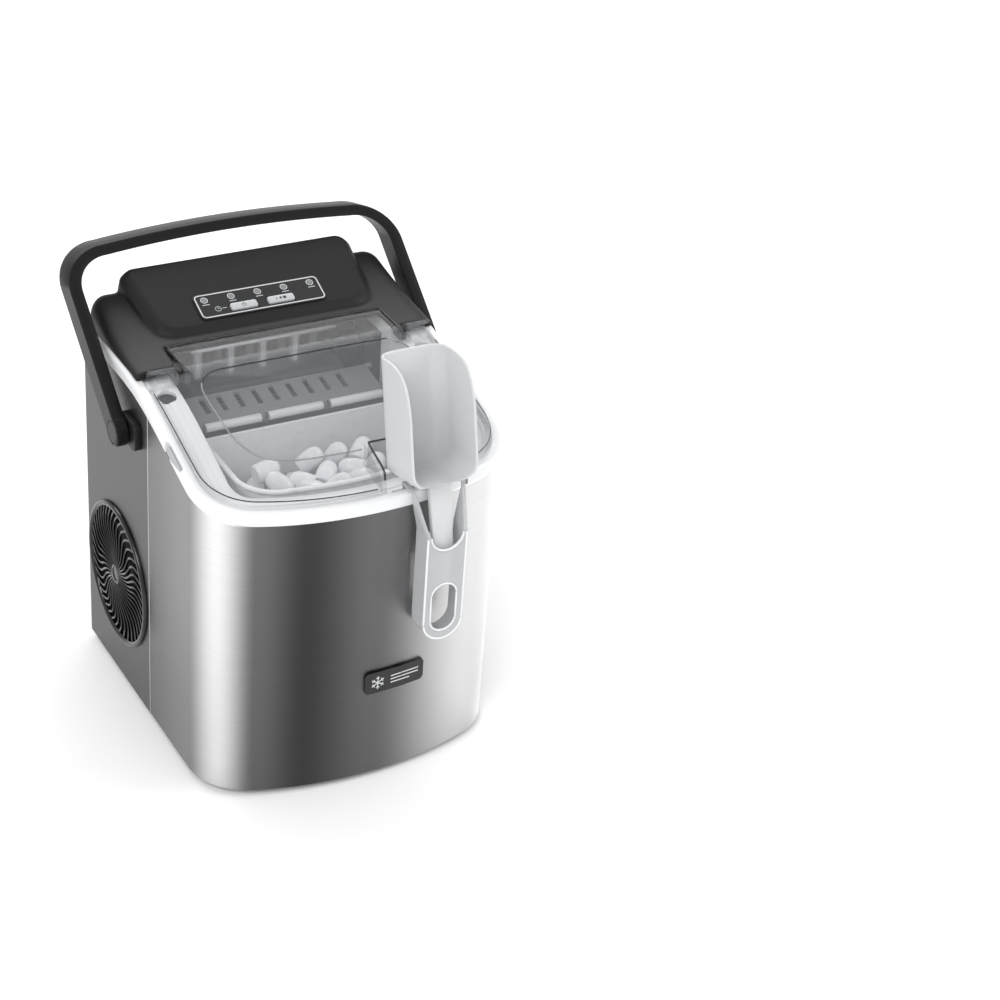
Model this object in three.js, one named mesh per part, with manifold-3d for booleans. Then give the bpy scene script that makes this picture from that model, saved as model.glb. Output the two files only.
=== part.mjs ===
// Countertop bullet-ice maker with a folding carry handle.
// Millimetres, +Z up, front towards -Y, floor at z = 0, body centred on x = 0.
// The y dimensions below are from the middle of the casing; ORIGIN_SHIFT_Y then
// moves every sub-part, so that the origin is under the middle of the overall box.
import * as THREE from "three";
import { mergeVertices } from "three/addons/utils/BufferGeometryUtils.js";
import Module from "manifold-3d";

const wasm = await Module();
wasm.setup();

// ---------------------------------------------------------------- driving dimensions
const BODY_W = 224;
const BODY_REAR = 120.6;
const CORNER_R = 45; // front corner radius in plan
const BOW_R = 251.3; // radius of the bowed front
const CORNER_Y = -64.3; // where the straight side meets the corner
const REAR_R = 4;
const BASE_Z = 5;
const FOOT_R = 10;
const STEEL_T = 1;
const STEEL_TOP_FRONT = 217;
const STEEL_TOP_REAR = 253;
const RISE_START_Y = -118; // the top edge climbs between these two
const RISE_END_Y = 45;
const SEAM_Y = 3.8;
const RIM_H = 10; // white band above the steel
const DECK_H = 7.2;
const DECK_INSET = 27;
const INNER_WALL_Z = 203;

const LID_INSET = 6.8;
const LID_T = 2;
const LID_SEAT_H = 8.4;
const LID_FLAT_Z = 249; // height of the flat top at LID_FLAT_Y
const LID_FLAT_Y = -86;
const LID_SLOPE = 0.218;
const HINGE_Y = 18.2;
const HINGE_Z = 265;
const HUMP_R = 6.9;
const TONGUE_W = 160;
const TONGUE_REAR_Y = 48;
const NOTCH_X0 = 6.5;
const NOTCH_X1 = 71.5;
const NOTCH_Y = -85;

const COVER_FRONT_Y = 25.5;
const COVER_T = 2.4;
const RECESS_HALF_W = 81.6;
const RECESS_Y = 49.6;
const PANEL_Z = 276.5; // control panel height at PANEL_Y
const PANEL_Y = 60;
const PANEL_SLOPE = 0.4;
const OVERLAY_W = 95;
const OVERLAY_L = 23;
const OVERLAY_Y = 74;
const BUTTON_X = 14;
const BUTTON_Y = 69.8;
const LED_Y = 79;
const LED_PITCH = 20;

const PIVOT_Y = 32;
const PIVOT_Z = 224;
const HANDLE_LEAN = 50.8; // degrees back from vertical at rest
const HANDLE_HALF_W = 126.4;
const HANDLE_T = 9;
const HANDLE_BAND = 22;
const HANDLE_BAND_TILT = 15.7;
const HANDLE_LEN = 144;
const HANDLE_CORNER_R = 33;
const HANDLE_ARCH = 5;

const FAN_Y = 61;
const FAN_Z = 90;
const GRILLE_R = 54;
const GRILLE_OPEN_R = 49.5;

const HOLDER_X = 40;
const HOLDER_HALF_W = 15;
const HOLDER_WALL = 2.4;
const HOLDER_FRONT_Y = -139;
const SCOOP_X = 32.3;
const SCOOP_Y = -102;
const SCOOP_Z = 231.7;
const SCOOP_W = 48;
const SCOOP_H = 84;
const SCOOP_D = 46;
const SCOOP_CORNER_R = 15;
const SCOOP_WALL = 1.8;
const SCOOP_TILT = 12;

const BASKET_HALF_W = 74;
const BASKET_FRONT_Y = -78;
const BASKET_CORNER_R = 30;
const BASKET_REAR_Y = 7.5;
const BASKET_RIM_Z = 220;
const BASKET_FLOOR_Z = 128;
const TANK_SUMP_Z = 109;
const TANK_SHELF_Z = 150;
const TANK_SUMP_Y = 12;
const TRAY_Y = 89.5; // pivot of the tilting water tray
const TRAY_Z = 224;
const SHOVEL_Y = 45; // pivot of the ice shovel
const SHOVEL_Z = 229;

const GAP = 0.3;
const ORIGIN_SHIFT_Y = -4.14;

// ---------------------------------------------------------------- solid helpers
function toSolid(geometry) {
  let g = geometry.clone();
  g.deleteAttribute("normal");
  g.deleteAttribute("uv");
  g = mergeVertices(g, 1e-4);
  const solid = new wasm.Manifold(
    new wasm.Mesh({
      numProp: 3,
      vertProperties: Float32Array.from(g.attributes.position.array),
      triVerts: Uint32Array.from(g.index.array),
    })
  );
  return solid;
}

function toGeometry(solid) {
  const mesh = solid.getMesh();
  const g = new THREE.BufferGeometry();
  g.setAttribute("position", new THREE.BufferAttribute(Float32Array.from(mesh.vertProperties), 3));
  g.setIndex(new THREE.BufferAttribute(Uint32Array.from(mesh.triVerts), 1));
  g.computeVertexNormals();
  return g;
}

function joined(list) {
  return list.map((s) => s).reduce((a, b) => a.add(b));
}

function cutBy(solid, list) {
  return list.reduce((a, b) => a.subtract(b), solid);
}

function box(x0, x1, y0, y1, z0, z1) {
  const g = new THREE.BoxGeometry(x1 - x0, y1 - y0, z1 - z0);
  g.translate((x0 + x1) / 2, (y0 + y1) / 2, (z0 + z1) / 2);
  return toSolid(g);
}

// Round bar or cone along X, Y or Z from a to b, centred on the other two coordinates.
function rod(axis, r0, a, b, c0, c1, segments = 20, r1 = r0) {
  const g = new THREE.CylinderGeometry(r1, r0, b - a, segments);
  g.translate(0, (a + b) / 2, 0);
  if (axis === "x") {
    g.rotateZ(-Math.PI / 2);
    g.translate(0, c0, c1);
  } else if (axis === "z") {
    g.rotateX(Math.PI / 2);
    g.translate(c0, c1, 0);
  } else {
    g.translate(c0, 0, c1);
  }
  return toSolid(g);
}

function shapeOf(points) {
  return new THREE.Shape(points.map((p) => new THREE.Vector2(p[0], p[1])));
}

// Prism of a closed outline: axis z takes (x, y), axis x takes (y, z), axis y takes (x, z).
function prism(axis, points, a, b) {
  const g = new THREE.ExtrudeGeometry(shapeOf(points), { depth: b - a, bevelEnabled: false, steps: 1 });
  const m = new THREE.Matrix4();
  if (axis === "z") {
    m.makeTranslation(0, 0, a);
  } else if (axis === "x") {
    m.set(0, 0, 1, a, 1, 0, 0, 0, 0, 1, 0, 0, 0, 0, 0, 1);
  } else {
    m.set(1, 0, 0, 0, 0, 0, -1, b, 0, 1, 0, 0, 0, 0, 0, 1);
  }
  g.applyMatrix4(m);
  return toSolid(g);
}

function arc(cx, cy, r, from, to, steps) {
  const points = [];
  for (let i = 0; i <= steps; i += 1) {
    const a = ((from + ((to - from) * i) / steps) * Math.PI) / 180;
    points.push([cx + r * Math.cos(a), cy + r * Math.sin(a)]);
  }
  return points;
}

function roundedRect(x0, x1, y0, y1, r, steps = 5) {
  return [
    ...arc(x1 - r, y0 + r, r, -90, 0, steps),
    ...arc(x1 - r, y1 - r, r, 0, 90, steps),
    ...arc(x0 + r, y1 - r, r, 90, 180, steps),
    ...arc(x0 + r, y0 + r, r, 180, 270, steps),
  ];
}

function signedVolume(positions, index) {
  let v = 0;
  const p = (i) => new THREE.Vector3(positions[3 * i], positions[3 * i + 1], positions[3 * i + 2]);
  for (let t = 0; t < index.length; t += 3) {
    v += p(index[t]).dot(p(index[t + 1]).cross(p(index[t + 2])));
  }
  return v;
}

function closedSurface(positions, index) {
  if (signedVolume(positions, index) < 0) {
    for (let t = 0; t < index.length; t += 3) {
      [index[t], index[t + 1]] = [index[t + 1], index[t]];
    }
  }
  const g = new THREE.BufferGeometry();
  g.setAttribute("position", new THREE.BufferAttribute(Float32Array.from(positions), 3));
  g.setIndex(index);
  return toSolid(g);
}

function sideFaces(index, rows, columns, wrapRows, wrapColumns) {
  const lastRow = wrapRows ? rows : rows - 1;
  const lastColumn = wrapColumns ? columns : columns - 1;
  for (let r = 0; r < lastRow; r += 1) {
    for (let c = 0; c < lastColumn; c += 1) {
      const a = r * columns + c;
      const b = r * columns + ((c + 1) % columns);
      const d = ((r + 1) % rows) * columns + c;
      const e = ((r + 1) % rows) * columns + ((c + 1) % columns);
      index.push(a, b, e, a, e, d);
    }
  }
}

// Solid between stacked closed rings, closed by a flat cap at each end.
function stack(rings) {
  const n = rings[0].length;
  const index = [];
  sideFaces(index, rings.length, n, false, true);
  const capOf = (ring) => THREE.ShapeUtils.triangulateShape(shapeOf(ring).getPoints(), []);
  for (const t of capOf(rings[0])) {
    index.push(t[2], t[1], t[0]);
  }
  const top = (rings.length - 1) * n;
  for (const t of capOf(rings[rings.length - 1])) {
    index.push(top + t[0], top + t[1], top + t[2]);
  }
  return closedSurface(rings.flat(2), index);
}

// Closed ring of constant cross-section: each entry of rings is one corner of the section.
function loop(rings) {
  const index = [];
  sideFaces(index, rings.length, rings[0].length, true, true);
  return closedSurface(rings.flat(2), index);
}

// Open strip: sections is a list of closed cross-sections along a path, with flat ends.
function strip(sections) {
  const n = sections[0].length;
  const index = [];
  sideFaces(index, sections.length, n, false, true);
  const last = (sections.length - 1) * n;
  for (let i = 1; i < n - 1; i += 1) {
    index.push(0, i + 1, i);
    index.push(last, last + i, last + i + 1);
  }
  return closedSurface(sections.flat(2), index);
}

function along(points, radius, segments = 8, steps = 16) {
  const stops = points.map((p) => new THREE.Vector3(...p));
  const curve = new THREE.CatmullRomCurve3(stops, false, "catmullrom", 0.4);
  const circle = new THREE.Shape();
  circle.absarc(0, 0, radius, 0, 2 * Math.PI);
  const options = { extrudePath: curve, steps, curveSegments: segments / 2, bevelEnabled: false };
  return toSolid(new THREE.ExtrudeGeometry(circle, options));
}

// ---------------------------------------------------------------- body outline and heights
function steelTop(y) {
  const u = Math.min(1, Math.max(0, (y - RISE_START_Y) / (RISE_END_Y - RISE_START_Y)));
  return STEEL_TOP_FRONT + (STEEL_TOP_REAR - STEEL_TOP_FRONT) * u * u * (3 - 2 * u);
}

function lidFlat(y) {
  return LID_FLAT_Z + LID_SLOPE * (y - LID_FLAT_Y);
}

function shoulderTop(y) {
  return 268.5 + 17 * Math.pow(Math.max(0, (y - 22) / 92), 1.6);
}

function panelTop(y) {
  return PANEL_Z + PANEL_SLOPE * (y - PANEL_Y);
}

// Left side, front and right side in plan, inset from the steel, from yEnd round to yEnd.
function frontPath(inset, yEnd, sideSteps = 6, cornerSteps = 6, bowSteps = 8) {
  const half = BODY_W / 2;
  const beta = Math.asin((half - CORNER_R) / (BOW_R - CORNER_R));
  const betaDeg = (beta * 180) / Math.PI;
  const bowY = CORNER_Y + (BOW_R - CORNER_R) * Math.cos(beta);
  const cornerX = half - CORNER_R;
  const points = [];
  for (let i = 0; i < sideSteps; i += 1) {
    points.push([-half + inset, yEnd + ((CORNER_Y - yEnd) * i) / sideSteps]);
  }
  points.push(...arc(-cornerX, CORNER_Y, CORNER_R - inset, 180, 270 - betaDeg, cornerSteps));
  points.push(...arc(0, bowY, BOW_R - inset, 270 - betaDeg, 270 + betaDeg, bowSteps).slice(1, -1));
  points.push(...arc(cornerX, CORNER_Y, CORNER_R - inset, 270 + betaDeg, 360, cornerSteps));
  for (let i = sideSteps - 1; i >= 0; i -= 1) {
    points.push([half - inset, yEnd + ((CORNER_Y - yEnd) * i) / sideSteps]);
  }
  return points;
}

// Whole outline in plan, closed across the rear with small corner arcs.
function outline(inset, rear = BODY_REAR - inset, rearR = Math.max(REAR_R - inset, 1)) {
  const path = frontPath(inset, rear - rearR);
  const x = BODY_W / 2 - inset - rearR;
  return [
    ...path,
    ...arc(x, rear - rearR, rearR, 0, 90, 3).slice(1),
    ...arc(-x, rear - rearR, rearR, 90, 180, 3).slice(0, -1),
  ];
}

// Ring that follows the sloping top edge: inset from the steel, h above it.
function rimRing(inset, h, absoluteZ = null) {
  const base = outline(0);
  return outline(inset).map((p, i) => [p[0], p[1], absoluteZ ?? steelTop(base[i][1]) + h]);
}

const group = new THREE.Group();

function part(name, solid, color, roughness, metalness, opacity = 1, parent = group) {
  const options = { color, roughness, metalness, transparent: opacity < 1, opacity };
  const geometry = toGeometry(solid.translate([0, ORIGIN_SHIFT_Y, 0]));
  const mesh = new THREE.Mesh(geometry, new THREE.MeshStandardMaterial(options));
  mesh.name = name;
  parent.add(mesh);
}

const STEEL = [0xb9babc, 0.32, 1];
const DARK_STEEL = [0x77797c, 0.42, 0.9];
const BLACK = [0x232426, 0.38, 0];
const GLOSS_BLACK = [0x0c0c0d, 0.15, 0];
const WHITE = [0xf0f1f1, 0.4, 0];
const CLEAR = [0xaeb3b6, 0.08, 0];
const COPPER = [0xb4683f, 0.35, 1];
const ALUMINIUM = [0xa9acaf, 0.45, 1];
const ZINC = [0x8a8d90, 0.5, 0.9];
const RUBBER = [0x1a1a1a, 0.85, 0];

// ---------------------------------------------------------------- casing
function basePan() {
  const flat = (inset) => outline(inset);
  const tray = prism("z", flat(1.5), BASE_Z, 17);
  return tray.subtract(prism("z", flat(2.7), BASE_Z + 1.4, 18));
}

function frontWrap() {
  const outer = frontPath(0, SEAM_Y, 5);
  const inner = frontPath(STEEL_T, SEAM_Y, 5);
  const sections = outer.map((p, i) => {
    const q = inner[i];
    const top = steelTop(p[1]);
    return [[...p, BASE_Z], [...q, BASE_Z], [...q, top], [...p, top]];
  });
  return strip(sections);
}

function sidePanel(side) {
  const top = [];
  for (let i = 0; i <= 8; i += 1) {
    const y = BODY_REAR - ((BODY_REAR - SEAM_Y - 0.4) * i) / 8;
    top.push([y, steelTop(y)]);
  }
  const profile = [[SEAM_Y + 0.4, BASE_Z], [BODY_REAR, BASE_Z], ...top];
  const x = side < 0 ? -BODY_W / 2 : BODY_W / 2 - STEEL_T;
  const sheet = prism("x", profile, x, x + STEEL_T);
  return sheet.subtract(rod("x", 5, x - 1, x + 2, PIVOT_Y, PIVOT_Z, 16));
}

function sidePanelLeft() {
  return sidePanel(-1).subtract(rod("x", 51, -BODY_W / 2 - 1, -BODY_W / 2 + 2, FAN_Y, FAN_Z, 32));
}

function sidePanelRight() {
  const slots = [];
  for (let row = 0; row < 2; row += 1) {
    for (let i = 0; i < 11; i += 1) {
      const y = 22 + i * 8;
      const z = 52 + row * 46;
      slots.push(box(BODY_W / 2 - 2, BODY_W / 2 + 1, y, y + 3.4, z, z + 38));
    }
  }
  return cutBy(sidePanel(1), slots);
}

function rearPanel() {
  const x = BODY_W / 2 - STEEL_T - GAP;
  const sheet = box(-x, x, BODY_REAR - 1.2, BODY_REAR, BASE_Z, STEEL_TOP_REAR);
  const cuts = [
    rod("y", 7.4, BODY_REAR - 3, BODY_REAR + 1, 78, 34, 20),
    rod("y", 7.4, BODY_REAR - 3, BODY_REAR + 1, -78, 30, 20),
  ];
  for (let i = 0; i < 9; i += 1) {
    cuts.push(box(-48, 48, BODY_REAR - 3, BODY_REAR + 1, 70 + i * 9, 73.4 + i * 9));
  }
  return cutBy(sheet, cuts);
}

function topFrame() {
  const rings = [
    rimRing(-1, 0.8),
    rimRing(-1, 7.4),
    rimRing(-0.2, 9.3),
    rimRing(1.4, RIM_H),
    rimRing(5.6, RIM_H),
    rimRing(6.2, DECK_H),
    rimRing(DECK_INSET - 1.5, DECK_H),
    rimRing(DECK_INSET, DECK_H - 1.5),
    rimRing(DECK_INSET, 0, INNER_WALL_Z),
    rimRing(DECK_INSET - 2, 0, INNER_WALL_Z),
    rimRing(DECK_INSET - 2, DECK_H - 2),
    rimRing(3.4, DECK_H - 2),
    rimRing(3.4, -6),
    rimRing(1.5, -6),
    rimRing(1.5, 0.8),
  ];
  const cuts = [
    box(HOLDER_X - 28, HOLDER_X + 28, -113.6, -108.4, 205, 240),
    rod("z", 6.5, 245, 270, -96, 9, 20),
    rod("z", 6.5, 245, 270, 96, 9, 20),
    box(-120, -110.6, -55, -29, 236, 246.2),
    rod("x", HUMP_R + 0.4, -105, -85.5, HINGE_Y, HINGE_Z, 32),
    rod("x", HUMP_R + 0.4, 85.5, 105, HINGE_Y, HINGE_Z, 32),
  ];
  return cutBy(loop(rings), cuts);
}

function hingeCap(side) {
  const z = steelTop(9) + DECK_H;
  return rod("z", 6.2, z - 4, z - 0.5, side * 96, 9, 20);
}

function foot(x, y) {
  return rod("z", FOOT_R - 1.5, 0, BASE_Z - GAP, x, y, 20, FOOT_R);
}

function pivotBoss(side) {
  const profile = roundedRect(PIVOT_Y - 18, PIVOT_Y + 10, PIVOT_Z - 9.5, PIVOT_Z + 11, 5, 4);
  const x0 = side < 0 ? -BODY_W / 2 - 4.9 : BODY_W / 2 + GAP;
  const block = prism("x", profile, x0, x0 + 4.6);
  return block.subtract(rod("x", 4.35, x0 - 1, x0 + 6, PIVOT_Y, PIVOT_Z, 20));
}

function badgePlate() {
  const outer = prism("z", outline(-1.5), 73, 90);
  const inner = prism("z", outline(-GAP), 72, 91);
  const window = prism("y", roundedRect(-7, 39, 73, 90, 3, 4), -130, -110);
  return outer.subtract(inner).intersect(window);
}

// ---------------------------------------------------------------- top cover and controls
function coverRing(inset, z, front = COVER_FRONT_Y + inset) {
  const x = BODY_W / 2 - inset;
  const rear = BODY_REAR - inset;
  const r = Math.max(14 - inset, 2);
  const points = [[-x, front]];
  for (let i = 1; i <= 4; i += 1) {
    points.unshift([-x, front + ((rear - r - front) * i) / 4]);
  }
  points.push([-RECESS_HALF_W, front], [RECESS_HALF_W, front]);
  for (let i = 0; i <= 3; i += 1) {
    points.push([x, front + ((rear - r - front) * i) / 4]);
  }
  points.push(...arc(x - r, rear - r, r, 0, 90, 4));
  points.push(...arc(-x + r, rear - r, r, 90, 180, 4).slice(0, -1));
  return points.map((p) => [p[0], p[1], z(p[1])]);
}

function coverShoulder(grow) {
  const base = (y) => steelTop(y) + RIM_H + 0.4;
  const mix = (t) => (y) => base(y) + t * (shoulderTop(y) - base(y)) - grow;
  const f = COVER_FRONT_Y + grow;
  return stack([
    coverRing(0.6 + grow, (y) => base(y) - (grow > 0 ? 3 : 0), f),
    coverRing(0.6 + grow, mix(0.42), f),
    coverRing(2.4 + grow, mix(0.72), f),
    coverRing(6 + grow, mix(0.92), f),
    coverRing(12 + grow, mix(1), f),
  ]);
}

function panelRing(inset, drop, grow) {
  const rear = Math.min(BODY_REAR - 3.5 - inset, BODY_REAR - 1 - grow);
  const front = PANEL_Y - 1 + inset;
  const wr = 83 - inset;
  const wf = 78 - inset;
  const points = [
    ...arc(-wf + 13, front + 13, 13, 190, 270, 5),
    ...arc(wf - 13, front + 13, 13, -90, -10, 5),
    ...arc(wr - 7, rear - 7, 7, -10, 90, 4),
    ...arc(-wr + 7, rear - 7, 7, 90, 190, 4),
  ];
  return points.map((p) => [p[0], p[1], panelTop(p[1]) - drop - grow]);
}

function coverPanel(grow) {
  const low = panelRing(-7 + grow, 0, grow);
  const foot = low.map(([x, y]) => [x, Math.min(y, 117 - grow), shoulderTop(y) - 4 - grow]);
  return stack([
    foot,
    panelRing(-5 + grow, 6, grow),
    panelRing(-1 + grow, 1.6, grow),
    panelRing(1.5 + grow, 0, grow),
  ]);
}

// Tilts something drawn flat about (0, 0) onto the control panel at (x, y).
function onPanel(solid, x, y, lift = 0) {
  const a = (Math.atan(PANEL_SLOPE) * 180) / Math.PI;
  return solid.translate([0, 0, lift]).rotate([a, 0, 0]).translate([x, y, panelTop(y)]);
}

function hingeEar(side) {
  const x0 = side * (RECESS_HALF_W + 1.5);
  const a = Math.min(x0 - 1.5, x0 + 1.5);
  const disc = arc(HINGE_Y, HINGE_Z, 4.4, 90, 270, 10);
  const plate = prism("x", [...disc, [28, HINGE_Z - 4.4], [28, HINGE_Z + 4.4]], a, a + 3);
  return plate.subtract(rod("x", 2.15, a - 1, a + 4, HINGE_Y, HINGE_Z, 16));
}

function topCover() {
  const recess = box(-RECESS_HALF_W, RECESS_HALF_W, 15, RECESS_Y, 240, 300);
  const outer = coverShoulder(0).subtract(recess).add(coverPanel(0));
  const half = RECESS_HALF_W + COVER_T;
  const kept = box(-half, half, 15, RECESS_Y + COVER_T, 240, 300);
  const inner = coverShoulder(COVER_T).add(coverPanel(COVER_T)).subtract(kept);
  const holes = [
    onPanel(box(-10.4, 10.4, -3.5, 3.5, -8, 4), -BUTTON_X, BUTTON_Y),
    onPanel(box(-10.4, 10.4, -3.5, 3.5, -8, 4), BUTTON_X, BUTTON_Y),
  ];
  for (let i = -2; i <= 2; i += 1) {
    holes.push(onPanel(rod("z", 2.15, -8, 4, 0, 0, 10), i * LED_PITCH, LED_Y));
  }
  const shell = cutBy(outer, [inner, ...holes]);
  return joined([shell, hingeEar(-1), hingeEar(1)]);
}

function controlOverlay() {
  const x = OVERLAY_W / 2;
  const y = OVERLAY_L / 2;
  const plate = prism("z", roundedRect(-x, x, -y, y, 4, 5), 0.3, 0.9);
  const s = Math.cos(Math.atan(PANEL_SLOPE));
  const at = (px, py) => [px, (py - OVERLAY_Y) / s];
  const cuts = [];
  for (const side of [-1, 1]) {
    const [bx, by] = at(side * BUTTON_X, BUTTON_Y);
    cuts.push(prism("z", roundedRect(bx - 10.6, bx + 10.6, by - 3.7, by + 3.7, 1.5, 3), -1, 3));
  }
  for (let i = -2; i <= 2; i += 1) {
    const [lx, ly] = at(i * LED_PITCH, LED_Y);
    cuts.push(rod("z", 2.3, -1, 3, lx, ly, 10));
  }
  return onPanel(cutBy(plate, cuts), 0, OVERLAY_Y);
}

function button(side) {
  const cap = prism("z", roundedRect(-10, 10, -3.1, 3.1, 1.4, 3), -3.4, 1.9);
  const stem = prism("z", roundedRect(-3, 3, -1.5, 1.5, 0.5, 1), -6.4, -3);
  return onPanel(cap.add(stem), side * BUTTON_X, BUTTON_Y);
}

function lightGuide() {
  const bar = box(-46, 46, -2.4, 2.4, -6.2, -3.4);
  const posts = [];
  for (let i = -2; i <= 2; i += 1) {
    posts.push(rod("z", 1.8, -4, 1.1, i * LED_PITCH, 0, 10));
  }
  return onPanel(joined([bar, ...posts]), 0, LED_Y);
}

function controlBoard() {
  return onPanel(box(-50, 50, -13, 13, -9.6, -8), 0, OVERLAY_Y);
}

// ---------------------------------------------------------------- lid
function lidOutline(inset, rear) {
  return outline(inset, rear, 1);
}

function lidRing(inset, t, rear, drop = 0) {
  const seat = lidOutline(LID_INSET, rear);
  return lidOutline(inset, rear).map((p, i) => {
    const low = steelTop(seat[i][1]) + LID_SEAT_H;
    return [p[0], p[1], low + t * (lidFlat(p[1]) - low) - drop];
  });
}

function lidShell(grow) {
  const rear = HINGE_Y - 0.35;
  const g = grow * LID_T;
  const steps = [[0, 0], [0, 0.34], [2.6, 0.62], [8, 0.82], [16, 0.94], [27, 1]];
  const rings = steps.map(([inset, t]) => lidRing(LID_INSET + inset + g, t, rear + grow, t > 0 ? g * 0.9 : 0));
  if (grow > 0) {
    rings[0] = rings[0].map((p) => [p[0], p[1], p[2] - 6]);
  }
  return stack(rings);
}

function lidHump(x0, x1) {
  const outer = arc(HINGE_Y, HINGE_Z, HUMP_R, 101, -28, 11);
  const inner = arc(HINGE_Y, HINGE_Z, HUMP_R - LID_T, -28, 97, 11);
  return prism("x", [...outer, ...inner], x0, x1);
}

function lidLug(x0, x1) {
  const disc = arc(HINGE_Y, HINGE_Z, HUMP_R - 1, 0, 360, 18).slice(0, -1);
  return prism("x", disc, x0, x1);
}

function lid() {
  const half = BODY_W / 2 - LID_INSET;
  const outer = lidShell(0);
  const shell = outer.subtract(lidShell(1));
  const notchWall = box(NOTCH_X0 - LID_T, NOTCH_X1 + LID_T, -140, NOTCH_Y + LID_T, 200, 300);
  const notch = box(NOTCH_X0, NOTCH_X1, -141, NOTCH_Y, 199, 301);
  const walls = outer.intersect(notchWall.subtract(notch));
  const tw = TONGUE_W / 2;
  const z0 = lidFlat(HINGE_Y - 3) - 0.15;
  const lift = 0.75;
  const profile = [
    [HINGE_Y - 3, z0 - LID_T],
    [TONGUE_REAR_Y, z0 + lift - LID_T],
    [TONGUE_REAR_Y, z0 + lift],
    [HINGE_Y - 3, z0],
  ];
  const tongue = prism("x", profile, -tw, tw);
  const earSlots = [-1, 1].map((s) => {
    const a = Math.min(s * (tw + 0.2), s * (tw + 6.4));
    return box(a, a + 6.2, HINGE_Y - 7, 60, 240, 300);
  });
  const body = cutBy(joined([shell, walls, tongue]), [notch, ...earSlots]);
  const pieces = [body];
  for (const s of [-1, 1]) {
    const span = (a, b) => [Math.min(s * a, s * b), Math.max(s * a, s * b)];
    pieces.push(lidHump(...span(tw + 6.3, half - 1.1)));
    pieces.push(lidLug(...span(tw - 2.2, tw + 0.15)));
    pieces.push(lidLug(...span(tw + 6.15, tw + 8.4)));
    const [a, b] = span(tw - 1, tw + 7);
    pieces.push(rod("x", 1.8, a, b, HINGE_Y, HINGE_Z, 14));
  }
  return joined(pieces);
}

// ---------------------------------------------------------------- carry handle
function bail(halfWidth, length, radius) {
  const points = [[-halfWidth, 0]];
  const top = length - HANDLE_ARCH;
  points.push(...arc(-halfWidth + radius, top - radius, radius, 180, 90, 6));
  const reach = halfWidth - radius;
  for (let i = 1; i < 8; i += 1) {
    const x = -reach + (2 * reach * i) / 8;
    points.push([x, top + HANDLE_ARCH * (1 - (x / reach) ** 2)]);
  }
  points.push(...arc(halfWidth - radius, top - radius, radius, 90, 0, 6));
  points.push([halfWidth, 0]);
  return points;
}

function handle() {
  const lean = THREE.MathUtils.degToRad(HANDLE_LEAN);
  const tilt = THREE.MathUtils.degToRad(HANDLE_BAND_TILT);
  const place = (p, n) => [
    p[0],
    PIVOT_Y + p[1] * Math.sin(lean) - n * Math.cos(tilt),
    PIVOT_Z + p[1] * Math.cos(lean) + n * Math.sin(tilt),
  ];
  const b = HANDLE_BAND / 2;
  const c = 1.2; // edge chamfer
  const lines = [0, c, HANDLE_T - c, HANDLE_T].map((t) =>
    bail(HANDLE_HALF_W - t, HANDLE_LEN - t, Math.max(HANDLE_CORNER_R - t, 8))
  );
  const sections = lines[0].map((unused, i) => [
    place(lines[0][i], b - c),
    place(lines[1][i], b),
    place(lines[2][i], b),
    place(lines[3][i], b - c),
    place(lines[3][i], -b + c),
    place(lines[2][i], -b),
    place(lines[1][i], -b),
    place(lines[0][i], -b + c),
  ]);
  const pieces = [strip(sections)];
  for (const s of [-1, 1]) {
    const inner = s * (HANDLE_HALF_W - HANDLE_T);
    const outer = s * HANDLE_HALF_W;
    pieces.push(rod("x", 10.4, Math.min(inner, outer), Math.max(inner, outer), PIVOT_Y, PIVOT_Z, 24));
    const end = s * 106;
    pieces.push(rod("x", 4, Math.min(inner + s, end), Math.max(inner + s, end), PIVOT_Y, PIVOT_Z, 20));
  }
  return joined(pieces);
}

// ---------------------------------------------------------------- fan and cooling circuit
function fanGrille() {
  const x = -BODY_W / 2 - GAP;
  const ringOf = (r0, r1, x0, x1) => {
    const flat = (r, z) => arc(0, 0, r, 0, 360, 32).slice(0, -1).map((p) => [z, FAN_Y + p[0], FAN_Z + p[1]]);
    return loop([flat(r0, x0), flat(r1, x0), flat(r1, x1), flat(r0, x1)]);
  };
  const pieces = [ringOf(GRILLE_OPEN_R, GRILLE_R, x - 2.6, x), rod("x", 7, x - 2.6, x, FAN_Y, FAN_Z, 20)];
  const count = 18;
  for (let i = 0; i < count; i += 1) {
    const spoke = [];
    const edge = (w) => {
      const line = [];
      for (let k = 0; k <= 2; k += 1) {
        const r = 5.5 + (GRILLE_OPEN_R - 4.5) * (k / 2);
        const a = (2 * Math.PI * i) / count + 0.14 * Math.sin((k / 2) * Math.PI);
        const nx = -Math.sin(a) * w;
        const nz = Math.cos(a) * w;
        line.push([FAN_Y + r * Math.cos(a) + nx, FAN_Z + r * Math.sin(a) + nz]);
      }
      return line;
    };
    spoke.push(...edge(-0.7), ...edge(0.7).reverse());
    pieces.push(prism("x", spoke, x - 2.4, x - 0.4));
  }
  return joined(pieces);
}

function fanShroud() {
  const frame = box(-110.4, -86, FAN_Y - 52.5, FAN_Y + 52.5, FAN_Z - 52.5, FAN_Z + 52.5);
  const duct = frame.subtract(rod("x", 49.5, -112, -84, FAN_Y, FAN_Z, 32));
  const arms = [
    box(-89, -86, FAN_Y - 51, FAN_Y + 51, FAN_Z - 3, FAN_Z + 3),
    box(-89, -86, FAN_Y - 3, FAN_Y + 3, FAN_Z - 51, FAN_Z + 51),
    rod("x", 19, -89, -86, FAN_Y, FAN_Z, 24),
  ];
  return joined([duct, ...arms]);
}

function fanMotor() {
  return rod("x", 16, -97, -89.3, FAN_Y, FAN_Z, 24).add(rod("x", 2, -107, -96, FAN_Y, FAN_Z, 12));
}

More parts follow.
